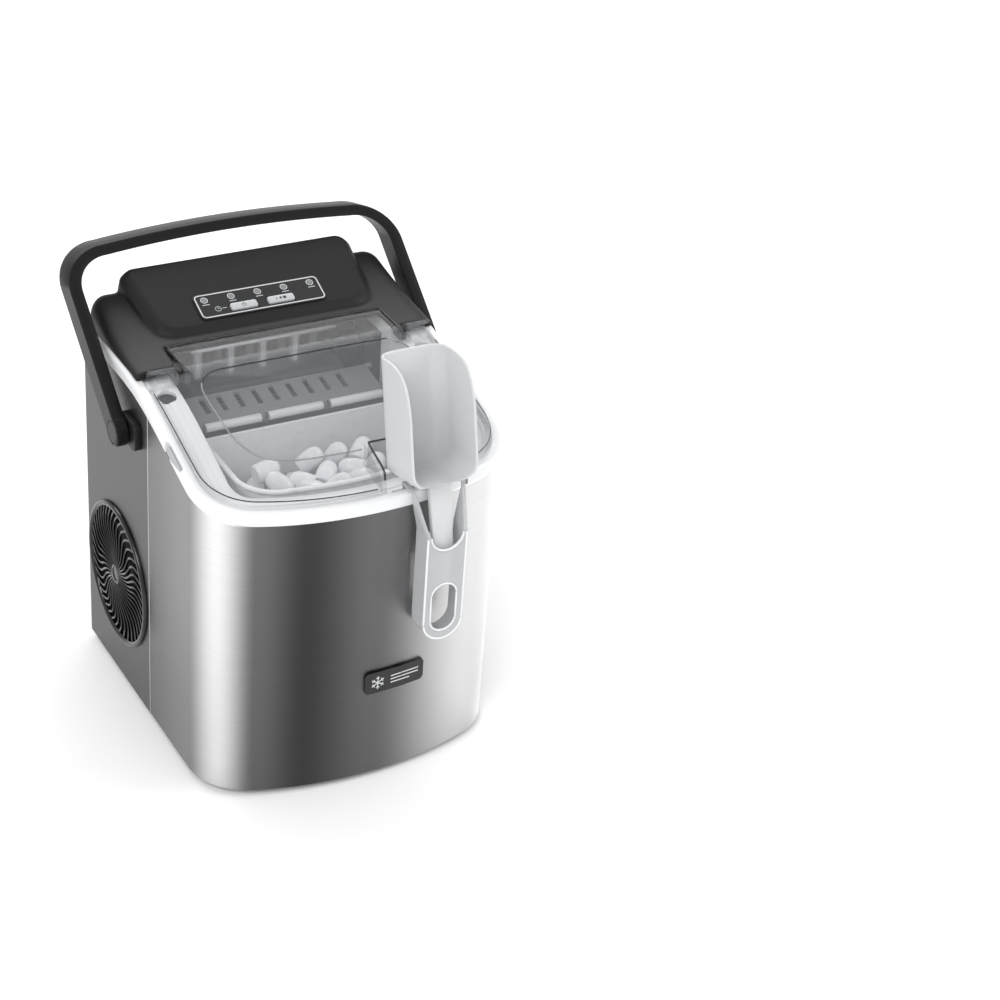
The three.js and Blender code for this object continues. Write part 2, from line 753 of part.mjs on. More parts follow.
function fanBlades() {
  const hub = rod("x", 18, -108.6, -98, FAN_Y, FAN_Z, 24);
  const pieces = [hub];
  for (let i = 0; i < 5; i += 1) {
    const blade = new THREE.BoxGeometry(1.8, 20, 31);
    blade.rotateZ(0);
    blade.translate(0, 0, 31.5);
    const turned = new THREE.Matrix4().makeRotationZ(0.42);
    blade.applyMatrix4(turned);
    blade.rotateX((2 * Math.PI * i) / 5);
    blade.translate(-103.3, FAN_Y, FAN_Z);
    pieces.push(toSolid(blade));
  }
  return joined(pieces).subtract(rod("x", 2.3, -110, -97.5, FAN_Y, FAN_Z, 12));
}

function condenser() {
  const block = box(-84, -62, 13, 113, 40, 142);
  const cuts = [];
  for (let i = 0; i < 12; i += 1) {
    const y = 17 + i * 8;
    cuts.push(box(-85, -76, y, y + 4, 42, 140));
    cuts.push(box(-70, -61, y, y + 4, 42, 140));
  }
  return cutBy(block, cuts);
}

function compressor() {
  const profile = [[0, 24], [36, 24], [43, 30], [44, 62], [45, 63], [45, 67], [44, 68], [42, 100], [30, 114], [0, 119]];
  const g = new THREE.LatheGeometry(profile.map((p) => new THREE.Vector2(p[0], p[1])), 22);
  g.rotateX(Math.PI / 2);
  g.translate(50, 62, 0);
  return toSolid(g);
}

function compressorBracket() {
  const plate = box(8, 92, 20, 104, 20.5, 23.5);
  const legs = [];
  for (const [x, y] of [[12, 24], [88, 24], [12, 100], [88, 100]]) {
    legs.push(rod("z", 4, BASE_Z + 1.7, 21, x, y, 12));
  }
  return joined([plate, ...legs]);
}

function evaporator() {
  const pieces = [box(-60, 52, 55, 84, 258, 264)];
  for (const x of [-53, -28.5, -4, 20.5]) {
    pieces.push(rod("z", 3.2, 235, 259, x, 59.5, 12, 3.4));
  }
  for (const x of [-30, -5.5, 19, 43.5]) {
    pieces.push(rod("z", 3.2, 235, 259, x, 78, 12, 3.4));
  }
  return joined(pieces);
}

function filterDrier() {
  const profile = [[0, 54], [3, 54], [3, 62], [8, 67], [8, 96], [3, 101], [3, 109], [0, 109]];
  const g = new THREE.LatheGeometry(profile.map((p) => new THREE.Vector2(p[0], p[1])), 14);
  g.rotateX(Math.PI / 2);
  g.translate(-40, 104, 0);
  return toSolid(g);
}

function dischargeTube() {
  return along([[50, 62, 119.6], [50, 64, 132], [20, 90, 138], [-24, 92, 138], [-50, 90, 136], [-60.8, 90, 136]], 3);
}

function suctionTube() {
  return along([[97, 90, 100], [103, 104, 120], [104, 106, 170], [99, 106, 230], [92, 97, 254]], 3);
}

// ---------------------------------------------------------------- water side
function tankLiner() {
  const hull = (inset, z0, z1) => prism("z", outline(inset), z0, z1);
  const front = box(-100, 100, -140, TANK_SUMP_Y, 90, 160);
  const outer = hull(DECK_INSET, TANK_SHELF_Z, INNER_WALL_Z - GAP).add(
    hull(DECK_INSET, TANK_SUMP_Z, TANK_SHELF_Z + 1).intersect(front)
  );
  const cutFront = box(-100, 100, -140, TANK_SUMP_Y - 2, 90, 160);
  const inner = hull(DECK_INSET + 2, TANK_SHELF_Z + 2, 230).add(
    hull(DECK_INSET + 2, TANK_SUMP_Z + 2, TANK_SHELF_Z + 3).intersect(cutFront)
  );
  return outer.subtract(inner);
}

function waterPump() {
  return rod("z", 13, TANK_SHELF_Z + 2.4, 176, -62, 62, 20).add(rod("z", 4, 175, 184, -62, 62, 12));
}

function fillTube() {
  return along([[-62, 62, 184.6], [-62, 62, 192], [-73, 70, 212], [-74, 70, 240], [-68, 70, 247], [-62, 70, 240]], 2.6);
}

function waterTray() {
  const outer = [[50, 231], [50, 222], [57, 214.5], [80, 214.5], [88, 222], [88, 231]];
  const inner = [[52, 232], [52, 222.8], [57.8, 216.5], [79.2, 216.5], [86, 222.8], [86, 232]];
  const trough = prism("x", outer, -59, 55).subtract(prism("x", inner, -57, 53));
  const slots = [];
  for (let i = 0; i < 8; i += 1) {
    slots.push(box(-50 + i * 13, -46 + i * 13, 49, 53, 226, 229));
  }
  const ears = [-59, 53].map((x) => prism("x", [[84, 220], [91.5, 220], [91.5, 228], [84, 228]], x, x + 2));
  const solid = cutBy(joined([trough, ...ears]), slots);
  return solid.add(rod("x", 2, -63, -58, TRAY_Y, TRAY_Z, 12)).add(rod("x", 2, 54, 64, TRAY_Y, TRAY_Z, 12));
}

function trayMotor() {
  const caseBox = box(61, 80, 78, 91.6, 208, 240);
  return caseBox.subtract(rod("x", 2.4, 58, 66, TRAY_Y, TRAY_Z, 12)).add(box(64, 80, 70, 79, 214, 234));
}

function iceShovel() {
  const plate = prism("x", [[11, 221.5], [46, 228], [46, 230], [11, 223.5]], -72, 70);
  const slots = [];
  for (let i = 0; i < 9; i += 1) {
    slots.push(box(-60 + i * 13, -56 + i * 13, 27, 43, 215, 236));
  }
  const bars = [-47.5, -1, 45.5].map((x) => rod("x", 3, x - 21, x + 21, 10.6, 225.4, 12));
  const pins = [rod("x", 2, -76, -71, SHOVEL_Y, SHOVEL_Z, 12), rod("x", 2, 69, 74, SHOVEL_Y, SHOVEL_Z, 12)];
  return joined([cutBy(plate, slots), ...bars, ...pins]);
}

function basketRing(grow, z) {
  const w = BASKET_HALF_W - grow;
  const rear = BASKET_REAR_Y - grow;
  const front = BASKET_FRONT_Y + grow;
  const r = Math.max(BASKET_CORNER_R - grow, 8);
  const bow = [];
  for (let i = 1; i < 6; i += 1) {
    const u = -1 + i / 3;
    bow.push([u * (w - r), front - 4 * (1 - u * u)]);
  }
  const points = [
    ...arc(-w + r, front + r, r, 180, 270, 7),
    ...bow,
    ...arc(w - r, front + r, r, -90, 0, 7),
    ...arc(w - 5, rear - 5, 5, 0, 90, 3),
    ...arc(-w + 5, rear - 5, 5, 90, 180, 3),
  ];
  return points.map((p) => [p[0], p[1], z]);
}

function iceBasket() {
  const outer = stack([
    basketRing(9, BASKET_FLOOR_Z),
    basketRing(6, BASKET_FLOOR_Z + 5),
    basketRing(2, BASKET_RIM_Z - 3),
    basketRing(0, BASKET_RIM_Z - 2),
    basketRing(0, BASKET_RIM_Z),
  ]);
  const inner = stack([
    basketRing(11, BASKET_FLOOR_Z + 2),
    basketRing(7.8, BASKET_FLOOR_Z + 6),
    basketRing(3.8, BASKET_RIM_Z + 1),
  ]);
  const slots = [];
  for (let i = -3; i <= 3; i += 1) {
    slots.push(box(i * 14 - 2, i * 14 + 2, -56, -16, BASKET_FLOOR_Z - 2, BASKET_FLOOR_Z + 4));
  }
  const legs = [[-50, -48], [50, -48], [-50, -14], [50, -14]].map(([x, y]) =>
    rod("z", 4.5, TANK_SUMP_Z + 2.4, BASKET_FLOOR_Z + 1, x, y, 12)
  );
  return joined([cutBy(outer, [inner, ...slots]), ...legs]);
}

function iceSensor() {
  return box(76, 84.6, 10, 26, 220, 233).add(rod("x", 4, 71.5, 77, 18, 227, 14));
}

function drainSpout() {
  const tube = rod("y", 6.9, 96, BODY_REAR + 1.5, -78, 30, 20);
  const flange = rod("y", 9.5, BODY_REAR + GAP, BODY_REAR + 2, -78, 30, 24);
  return tube.add(flange).subtract(rod("y", 4.6, 99, BODY_REAR + 4, -78, 30, 20));
}

function drainPlug() {
  const stopper = rod("y", 4.3, BODY_REAR - 10, BODY_REAR + 3, -78, 30, 16);
  return stopper.add(rod("y", 8.5, BODY_REAR + 2.3, BODY_REAR + 5.5, -78, 30, 20));
}

function powerInlet() {
  const barrel = rod("y", 7.1, BODY_REAR - 12, BODY_REAR + 1, 78, 34, 20);
  const flange = rod("y", 10, BODY_REAR + GAP, BODY_REAR + 3.4, 78, 34, 24);
  return barrel.add(flange).subtract(rod("y", 3.4, BODY_REAR - 14, BODY_REAR + 5, 78, 34, 14));
}

function powerBoard() {
  return box(16, 92, BODY_REAR - 6.4, BODY_REAR - 4.6, 150, 196);
}

// ---------------------------------------------------------------- scoop and its holder
function holderFace() {
  const w = HOLDER_HALF_W;
  return [
    ...arc(HOLDER_X, 133, w, 180, 360, 12),
    [HOLDER_X + w, 201],
    [HOLDER_X + w + 6, 231],
    [HOLDER_X - w - 6, 231],
    [HOLDER_X - w, 201],
  ];
}

function holderSolid(points, y0, y1) {
  return prism("y", points, y0, y1);
}

function scoopHolder() {
  const face = holderFace();
  const side = prism(
    "x",
    [
      [HOLDER_FRONT_Y, 100],
      [HOLDER_FRONT_Y, 201],
      [-123.5, 226.5],
      [-121, 229.6],
      [-108.9, 229.6],
      [-108.9, 220],
      [-111.2, 220],
      [-111.2, 227.3],
      [-122.6, 227.3],
      [-122.6, 100],
    ],
    -60,
    120
  );
  const block = holderSolid(face, -160, -100).intersect(side);
  const t = HOLDER_WALL;
  const w = HOLDER_HALF_W - t;
  const hollow = prism(
    "y",
    [
      ...arc(HOLDER_X, 133, w, 180, 360, 12),
      [HOLDER_X + w, 201],
      [HOLDER_X + w + 6, 240],
      [HOLDER_X - w - 6, 240],
      [HOLDER_X - w, 201],
    ],
    HOLDER_FRONT_Y + t,
    -100
  );
  const cup = [...arc(HOLDER_X, 201, 12, 180, 360, 10), [HOLDER_X + 16, 240], [HOLDER_X - 16, 240]];
  const front = prism("y", cup, -160, -100);
  const hole = [...arc(HOLDER_X, 153, 9.5, 0, 180, 8), ...arc(HOLDER_X, 135, 9.5, 180, 360, 8)];
  const oval = prism("y", hole, -160, -130);
  return cutBy(block, [hollow, front, oval]);
}

function tiltScoop(solid) {
  return solid.rotate([-SCOOP_TILT, 0, 0]).translate([SCOOP_X, SCOOP_Y, SCOOP_Z]);
}

function scoop() {
  const half = SCOOP_W / 2;
  const plan = (t) => [
    ...arc(half - 12, -12, 12 - t, 0, 90, 5),
    ...arc(-half + 12, -12, 12 - t, 90, 180, 5),
    [-half + t, -SCOOP_D - (t > 0 ? 5 : 0)],
    [half - t, -SCOOP_D - (t > 0 ? 5 : 0)],
  ];
  const side = (t) => [
    [5, t],
    [-SCOOP_D + 12, t],
    ...arc(-SCOOP_D + 10, 10 + t, 10, 270, 180, 4).slice(1),
    [-SCOOP_D, SCOOP_H * 0.55],
    [-SCOOP_D + 1.5, SCOOP_H * 0.74],
    [-SCOOP_D + 6, SCOOP_H * 0.87],
    [-SCOOP_D + 14, SCOOP_H * 0.95],
    [-SCOOP_D + 26, SCOOP_H * 0.985],
    [-SCOOP_D + 40, SCOOP_H],
    [5, SCOOP_H],
  ];
  const front = (t) => {
    const r = SCOOP_CORNER_R - t;
    return [
      ...arc(-half + SCOOP_CORNER_R, SCOOP_CORNER_R, r, 180, 270, 6),
      ...arc(half - SCOOP_CORNER_R, SCOOP_CORNER_R, r, 270, 360, 6),
      [half - t, SCOOP_H + 12],
      [-half + t, SCOOP_H + 12],
    ];
  };
  const shaped = (t) => prism("z", plan(t), t, SCOOP_H + t * 8).intersect(prism("y", front(t), -90, 20));
  const bowl = shaped(0).intersect(prism("x", side(0), -60, 60)).subtract(shaped(SCOOP_WALL));
  const x = HOLDER_X - SCOOP_X;
  const grip = [[x - 8.5, 1], [x - 7.5, -50], [x - 5, -54], [x + 5, -54], [x + 7.5, -50], [x + 8.5, 1]];
  const handleBar = prism("y", grip, -22.8, -18.3);
  return tiltScoop(bowl.add(handleBar));
}

// ---------------------------------------------------------------- assembly
part("base_pan", basePan(), ...ZINC);
part("foot_front_left", foot(-78, -70), ...RUBBER);
part("foot_front_right", foot(78, -70), ...RUBBER);
part("foot_rear_left", foot(-92, 98), ...RUBBER);
part("foot_rear_right", foot(92, 98), ...RUBBER);
part("front_wrap", frontWrap(), ...STEEL);
part("side_panel_left", sidePanelLeft(), ...DARK_STEEL);
part("side_panel_right", sidePanelRight(), ...DARK_STEEL);
part("rear_panel", rearPanel(), ...DARK_STEEL);
part("top_frame", topFrame(), ...WHITE);
part("hinge_cap_left", hingeCap(-1), ...RUBBER);
part("hinge_cap_right", hingeCap(1), ...RUBBER);
part("pivot_boss_left", pivotBoss(-1), ...BLACK);
part("pivot_boss_right", pivotBoss(1), ...BLACK);
part("badge_plate", badgePlate(), ...GLOSS_BLACK);
part("top_cover", topCover(), ...BLACK);
part("control_overlay", controlOverlay(), ...BLACK);
part("power_button", button(-1), 0xd9dadb, 0.4, 0);
part("select_button", button(1), 0xd9dadb, 0.4, 0);
part("indicator_light_guide", lightGuide(), ...CLEAR, 0.7);
part("control_board", controlBoard(), 0x1f5b36, 0.6, 0);
part("lid", lid(), ...CLEAR, 0.35);
part("carry_handle", handle(), ...BLACK);
part("fan_grille", fanGrille(), ...GLOSS_BLACK);
part("fan_shroud", fanShroud(), ...BLACK);
part("fan_motor", fanMotor(), ...ZINC);
part("fan_blades", fanBlades(), ...BLACK);
part("condenser", condenser(), ...ALUMINIUM);
part("compressor", compressor(), ...GLOSS_BLACK);
part("compressor_bracket", compressorBracket(), ...ZINC);
part("evaporator", evaporator(), ...STEEL);
part("filter_drier", filterDrier(), ...COPPER);
part("discharge_tube", dischargeTube(), ...COPPER);
part("suction_tube", suctionTube(), ...COPPER);
part("tank_liner", tankLiner(), ...WHITE);
part("water_pump", waterPump(), ...BLACK);
part("fill_tube", fillTube(), ...CLEAR, 0.6);
part("water_tray", waterTray(), 0x6f7477, 0.3, 0, 0.7);
part("tray_motor", trayMotor(), ...BLACK);
part("ice_shovel", iceShovel(), ...WHITE);
part("ice_basket", iceBasket(), 0xe8ebec, 0.3, 0, 0.75);
part("ice_full_sensor", iceSensor(), ...BLACK);
part("drain_spout", drainSpout(), ...WHITE);
part("drain_plug", drainPlug(), ...RUBBER);
part("power_inlet", powerInlet(), ...BLACK);
part("power_board", powerBoard(), 0x1f5b36, 0.6, 0);
part("scoop_holder", scoopHolder(), ...WHITE);
part("scoop", scoop(), 0xeceeee, 0.3, 0, 0.85);

export default group;
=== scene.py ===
"""Countertop ice maker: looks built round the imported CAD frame.

Lengths in the shape code are in millimetres in the frame of the casing, whose
middle is SHIFT_Y in front of the part's origin; mm() turns them into metres.
"""

import math
import random

import bmesh
import bpy
from mathutils import Matrix, Vector


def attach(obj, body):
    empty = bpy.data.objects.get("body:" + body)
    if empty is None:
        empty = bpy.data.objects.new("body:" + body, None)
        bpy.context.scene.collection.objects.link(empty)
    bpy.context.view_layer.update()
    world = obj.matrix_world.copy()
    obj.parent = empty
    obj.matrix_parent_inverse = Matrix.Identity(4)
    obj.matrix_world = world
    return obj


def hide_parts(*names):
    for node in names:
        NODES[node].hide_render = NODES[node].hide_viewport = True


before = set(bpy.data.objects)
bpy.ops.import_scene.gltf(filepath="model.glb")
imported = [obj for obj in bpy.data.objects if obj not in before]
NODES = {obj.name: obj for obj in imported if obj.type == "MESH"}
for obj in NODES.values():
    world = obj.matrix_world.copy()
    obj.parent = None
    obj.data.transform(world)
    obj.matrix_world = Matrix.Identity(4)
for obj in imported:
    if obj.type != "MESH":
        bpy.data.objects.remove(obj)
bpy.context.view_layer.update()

# ------------------------------------------------------------------ dimensions
SHIFT_Y = -4.14
BODY_W = 224
HALF = BODY_W / 2
BODY_REAR = 120.6
CORNER_R = 45
BOW_R = 251.3
CORNER_Y = -64.3
BOW_ANGLE = math.asin((HALF - CORNER_R) / (BOW_R - CORNER_R))
BOW_Y = CORNER_Y + (BOW_R - CORNER_R) * math.cos(BOW_ANGLE)
REAR_R = 4
BASE_Z = 5
SEAM_Y = 3.8
STEEL_FRONT_Z = 217
STEEL_REAR_Z = 253
RIM_H = 10
DECK_H = 7.2
DECK_INSET = 27
INNER_WALL_Z = 203
LID_INSET = 6.8
LID_T = 2
LID_SEAT_H = 8.4
HINGE_Y = 18.2
HINGE_Z = 265
HUMP_R = 6.9
TONGUE_HALF = 80
TONGUE_REAR_Y = 48
NOTCH = (6.5, 71.5, -85)
COVER_FRONT_Y = 25.5
RECESS_HALF = 81.6
RECESS_Y = 49.6
PANEL_Z = 276.5
PANEL_Y = 60
PANEL_SLOPE = 0.4
OVERLAY_Y = 74
BUTTON_X = 14
BUTTON_Y = 69.8
LED_Y = 79
LED_PITCH = 20
PIVOT_Y = 32
PIVOT_Z = 224
HANDLE_HALF = 126.4
HANDLE_REACH = 144
HANDLE_CORNER_R = 33
HANDLE_LEAN = math.radians(50.8)
HANDLE_TILT = math.radians(15.7)
FAN_Y = 61
FAN_Z = 90
SPOKES = 40
SPOKE_SPANS = 14
HOLDER_X = 40
SCOOP_AT = (32.3, -102, 231.7)
FINGER_ROWS = ((59.5, (-53, -28.5, -4, 20.5)), (78, (-30, -5.5, 19, 43.5)))
ICE_LAYERS = ((144, 0.62), (158, 0.72), (172, 0.8), (187, 0.84), (202, 0.84))
ICE_PITCH = 18.5
SIDE_NAME = {-1: "left", 1: "right"}
BLOCK_FACES = [(0, 1, 2, 3), (4, 5, 6, 7), (0, 1, 5, 4), (1, 2, 6, 5), (2, 3, 7, 6), (3, 0, 4, 7)]


# ------------------------------------------------------------------ helpers
def mm(p):
    return Vector((p[0], p[1] + SHIFT_Y, p[2])) / 1000


def arc(cx, cy, r, start, end, steps):
    out = []
    for i in range(steps + 1):
        a = math.radians(start + (end - start) * i / steps)
        out.append((cx + r * math.cos(a), cy + r * math.sin(a)))
    return out


def circle(r, steps):
    return arc(0, 0, r, 0, 360, steps)[:-1]


def rounded_rect(x0, x1, y0, y1, r, steps=6):
    return (
        arc(x1 - r, y0 + r, r, -90, 0, steps)
        + arc(x1 - r, y1 - r, r, 0, 90, steps)
        + arc(x0 + r, y1 - r, r, 90, 180, steps)
        + arc(x0 + r, y0 + r, r, 180, 270, steps)
    )


def steel_top(y):
    u = min(1, max(0, (y + 118) / 163))
    return STEEL_FRONT_Z + (STEEL_REAR_Z - STEEL_FRONT_Z) * u * u * (3 - 2 * u)


def lid_flat(y):
    return 249 + 0.218 * (y + 86)


def shoulder_top(y):
    return 268.5 + 17 * max(0, (y - 22) / 92) ** 1.6


def panel_top(y):
    return PANEL_Z + PANEL_SLOPE * (y - PANEL_Y)


def front_path(inset, y_end, side=10, corner=18, bow=30):
    b = math.degrees(BOW_ANGLE)
    cx = HALF - CORNER_R
    left = [(-HALF + inset, y_end + (CORNER_Y - y_end) * i / side) for i in range(side)]
    middle = arc(-cx, CORNER_Y, CORNER_R - inset, 180, 270 - b, corner)
    middle += arc(0, BOW_Y, BOW_R - inset, 270 - b, 270 + b, bow)[1:-1]
    middle += arc(cx, CORNER_Y, CORNER_R - inset, 270 + b, 360, corner)
    right = [(-x, y) for x, y in reversed(left)]
    return left + middle + right


def outline(inset, rear=None, rear_r=None):
    rear = BODY_REAR - inset if rear is None else rear
    rear_r = max(REAR_R - inset, 1) if rear_r is None else rear_r
    x = HALF - inset - rear_r
    path = front_path(inset, rear - rear_r)
    path += arc(x, rear - rear_r, rear_r, 0, 90, 4)[1:]
    path += arc(-x, rear - rear_r, rear_r, 90, 180, 4)[:-1]
    return path


def rim_ring(inset, h, z=None):
    base = outline(0)
    pts = outline(inset)
    return [(p[0], p[1], z if z is not None else steel_top(b[1]) + h) for p, b in zip(pts, base)]


def grid_faces(rows, columns, wrap_rows, wrap_columns):
    faces = []
    for r in range(rows if wrap_rows else rows - 1):
        for c in range(columns if wrap_columns else columns - 1):
            c1 = (c + 1) % columns
            r1 = (r + 1) % rows
            faces.append((r * columns + c, r * columns + c1, r1 * columns + c1, r1 * columns + c))
    return faces


def loop_mesh(rings):
    """Closed ring: each entry is one corner of a constant section."""
    flat = [p for ring in rings for p in ring]
    return flat, grid_faces(len(rings), len(rings[0]), True, True)


def stack_mesh(rings, mirrored=False):
    """Solid between stacked rings. A mirrored ring is capped by pairing its two halves."""
    n = len(rings[0])
    flat = [p for ring in rings for p in ring]
    faces = grid_faces(len(rings), n, False, True)
    for start in (0, (len(rings) - 1) * n):
        if mirrored:
            for i in range(n // 2 - 1):
                faces.append((start + i, start + i + 1, start + n - 2 - i, start + n - 1 - i))
        else:
            faces.append(tuple(range(start, start + n)))
    return flat, faces


def strip_mesh(sections):
    n = len(sections[0])
    flat = [p for s in sections for p in s]
    faces = grid_faces(len(sections), n, False, True)
    last = (len(sections) - 1) * n
    faces.append(tuple(range(n)))
    faces.append(tuple(range(last, last + n)))
    return flat, faces


def prism_mesh(axis, points, a, b):
    place = {
        "x": lambda p, t: (t, p[0], p[1]),
        "y": lambda p, t: (p[0], t, p[1]),
        "z": lambda p, t: (p[0], p[1], t),
    }[axis]
    return stack_mesh([[place(p, a) for p in points], [place(p, b) for p in points]])


def box_mesh(x0, x1, y0, y1, z0, z1):
    return prism_mesh("z", [(x0, y0), (x1, y0), (x1, y1), (x0, y1)], z0, z1)


def lathe_mesh(axis, centre, profile, steps=48):
    """Turned shape: profile is (distance along the axis, radius) from end to end."""
    rings = []
    for t, r in profile:
        ring = []
        for c, s in circle(max(r, 0.01), steps):
            point = {"x": (t, c, s), "y": (s, t, c), "z": (c, s, t)}[axis]
            ring.append(tuple(point[k] + centre[k] for k in range(3)))
        rings.append(ring)
    return stack_mesh(rings)


def tube_mesh(path, radius, steps=8, closed=False):
    """Round bar along points, kept upright enough for small trim lines."""
    pts = [Vector(p) for p in path]
    rings = []
    for i, p in enumerate(pts):
        before = pts[i - 1] if (i or closed) else p
        after = pts[(i + 1) % len(pts)] if (i + 1 < len(pts) or closed) else p
        along = (after - before).normalized()
        side = along.cross(Vector((0, 0, 1)))
        side = side.normalized() if side.length > 0.05 else Vector((1, 0, 0))
        up = side.cross(along).normalized()
        r = radius(i / (len(pts) - 1)) if callable(radius) else radius
        rings.append([p + side * (c * r) + up * (s * r) for c, s in circle(1, steps)])
    if closed:
        return loop_mesh(rings)
    return strip_mesh(rings)


def joined_mesh(meshes):
    flat, faces = [], []
    for verts, fs in meshes:
        base = len(flat)
        flat += list(verts)
        faces += [tuple(i + base for i in f) for f in fs]
    return flat, faces


def smooth_curve(points, steps):
    """Catmull-Rom curve through points, with steps spans between each two."""
    pts = [Vector(p) for p in points]
    ext = [pts[0] * 2 - pts[1]] + pts + [pts[-1] * 2 - pts[-2]]
    out = []
    for i in range(1, len(ext) - 2):
        p0, p1, p2, p3 = ext[i - 1 : i + 3]
        for k in range(steps):
            t = k / steps
            square = (2 * p0 - 5 * p1 + 4 * p2 - p3) * t * t
            cube = (3 * p1 - p0 - 3 * p2 + p3) * t**3
            out.append(0.5 * (2 * p1 + (p2 - p0) * t + square + cube))
    return out + [pts[-1]]


def flat_curve(points, steps):
    return smooth_curve([(*p, 0) for p in points], steps)


def make(name, mesh):
    verts, faces = mesh
    data = bpy.data.meshes.new(name)
    data.from_pydata([mm(v) for v in verts], [], faces)
    work = bmesh.new()
    work.from_mesh(data)
    bmesh.ops.recalc_face_normals(work, faces=work.faces)
    work.to_mesh(data)
    work.free()
    obj = bpy.data.objects.new(name, data)
    bpy.context.scene.collection.objects.link(obj)
    return obj


def bake_modifiers(obj):
    graph = bpy.context.evaluated_depsgraph_get()
    data = bpy.data.meshes.new_from_object(obj.evaluated_get(graph))
    obj.modifiers.clear()
    obj.data = data
    return obj


def boolean(obj, other, operation):
    mod = obj.modifiers.new("cut", "BOOLEAN")
    mod.operation = operation
    mod.solver = "MANIFOLD"
    mod.object = other
    bake_modifiers(obj)
    bpy.data.objects.remove(other)
    return obj


def cut(obj, *meshes):
    for mesh in meshes:
        boolean(obj, make("cutter", mesh), "DIFFERENCE")
    return obj


def join(obj, *meshes):
    for mesh in meshes:
        boolean(obj, make("adder", mesh), "UNION")
    return obj


def soften(obj, voxel, rounds, factor=0.5):
    """Rounds every edge of a solid the way a mould does."""
    remesh = obj.modifiers.new("remesh", "REMESH")
    remesh.mode = "VOXEL"
    remesh.voxel_size = voxel / 1000
    relax = obj.modifiers.new("relax", "SMOOTH")
    relax.factor = factor
    relax.iterations = rounds
    return bake_modifiers(obj)


def bevelled(obj, width, segments=2, angle=32):
    mod = obj.modifiers.new("edge", "BEVEL")
    mod.width = width / 1000
    mod.segments = segments
    mod.limit_method = "ANGLE"
    mod.angle_limit = math.radians(angle)
    mod.harden_normals = False
    return obj


def piece(obj, body, material, replaces=(), sharp=35):
    data = obj.data
    data.polygons.foreach_set("use_smooth", [True] * len(data.polygons))
    data.set_sharp_from_angle(angle=math.radians(sharp))
    data.materials.clear()
    data.materials.append(material)
    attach(obj, body)
    if replaces:
        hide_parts(*replaces)
    return obj


def bead(name, body, path, radius, material, steps=8, closed=False):
    """Thin round bead along an edge."""
    piece(make(name, tube_mesh(path, radius, steps, closed)), body, material, sharp=60)


def dress(node, material, bevel=0.0, sharp=32):
    """Material and shading for a CAD node that stays: welded, edges eased, smooth by angle."""
    obj = NODES[node]
    data = obj.data
    if "custom_normal" in data.attributes:
        data.attributes.remove(data.attributes["custom_normal"])
    data.polygons.foreach_set("use_smooth", [True] * len(data.polygons))
    data.materials.clear()
    data.materials.append(material)
    weld = obj.modifiers.new("weld", "WELD")
    weld.merge_threshold = 2e-6
    if bevel:
        bevelled(obj, bevel, 2, 40)
    split = obj.modifiers.new("sharp", "EDGE_SPLIT")
    split.split_angle = math.radians(sharp)
    split.use_edge_sharp = False


# ------------------------------------------------------------------ materials
def set_inputs(node, **values):
    for key, value in values.items():
        node.inputs[key.replace("_", " ")].default_value = value


def add_node(tree, kind, **values):
    node = tree.nodes.new("ShaderNode" + kind)
    set_inputs(node, **values)
    return node


def link(tree, source, output, target, socket):
    tree.links.new(source.outputs[output], target.inputs[socket])


def material(name, color, rough, metal=0.0, fine=900, spread=0.06, rough_spread=0.12,
             bump=0.0, stretch=(1, 1, 1), **sockets):
    """Moulded or metal surface with fine tone, gloss and height variation in object space."""
    mat = bpy.data.materials.new(name)
    mat.use_nodes = True
    tree = mat.node_tree
    bsdf = tree.nodes["Principled BSDF"]
    set_inputs(bsdf, Metallic=metal, **sockets)
    coords = add_node(tree, "TexCoord")
    mapping = add_node(tree, "Mapping", Scale=stretch)
    link(tree, coords, "Object", mapping, "Vector")
    noise = add_node(tree, "TexNoise", Scale=fine, Detail=5, Roughness=0.6)
    link(tree, mapping, "Vector", noise, "Vector")
    tones = add_node(tree, "ValToRGB")
    dark = tuple(c * (1 - spread) for c in color)
    light = tuple(min(1, c * (1 + spread)) for c in color)
    for element, shade, at in zip(tones.color_ramp.elements, (dark, light), (0.3, 0.7)):
        element.color = (*shade, 1)
        element.position = at
    link(tree, noise, "Fac", tones, "Fac")
    link(tree, tones, "Color", bsdf, "Base Color")
    gloss = add_node(tree, "MapRange", To_Min=max(0.01, rough * (1 - rough_spread)),
                     To_Max=min(1, rough * (1 + rough_spread)))
    link(tree, noise, "Fac", gloss, "Value")
    link(tree, gloss, "Result", bsdf, "Roughness")
    if bump:
        height = add_node(tree, "Bump", Strength=bump, Distance=0.0002)
        link(tree, noise, "Fac", height, "Height")
        link(tree, height, "Normal", bsdf, "Normal")
    return mat


def clear_material(name, color, rough, low, high, blend=0.35, **kw):
    """Clear or milky moulding: thin where seen square on, denser towards its edges."""
    mat = material(name, color, rough, **kw)
    mat.surface_render_method = "DITHERED"
    tree = mat.node_tree
    facing = add_node(tree, "LayerWeight", Blend=blend)
    density = add_node(tree, "MapRange", To_Min=low, To_Max=high)
    link(tree, facing, "Facing", density, "Value")
    link(tree, density, "Result", tree.nodes["Principled BSDF"], "Alpha")
    return mat


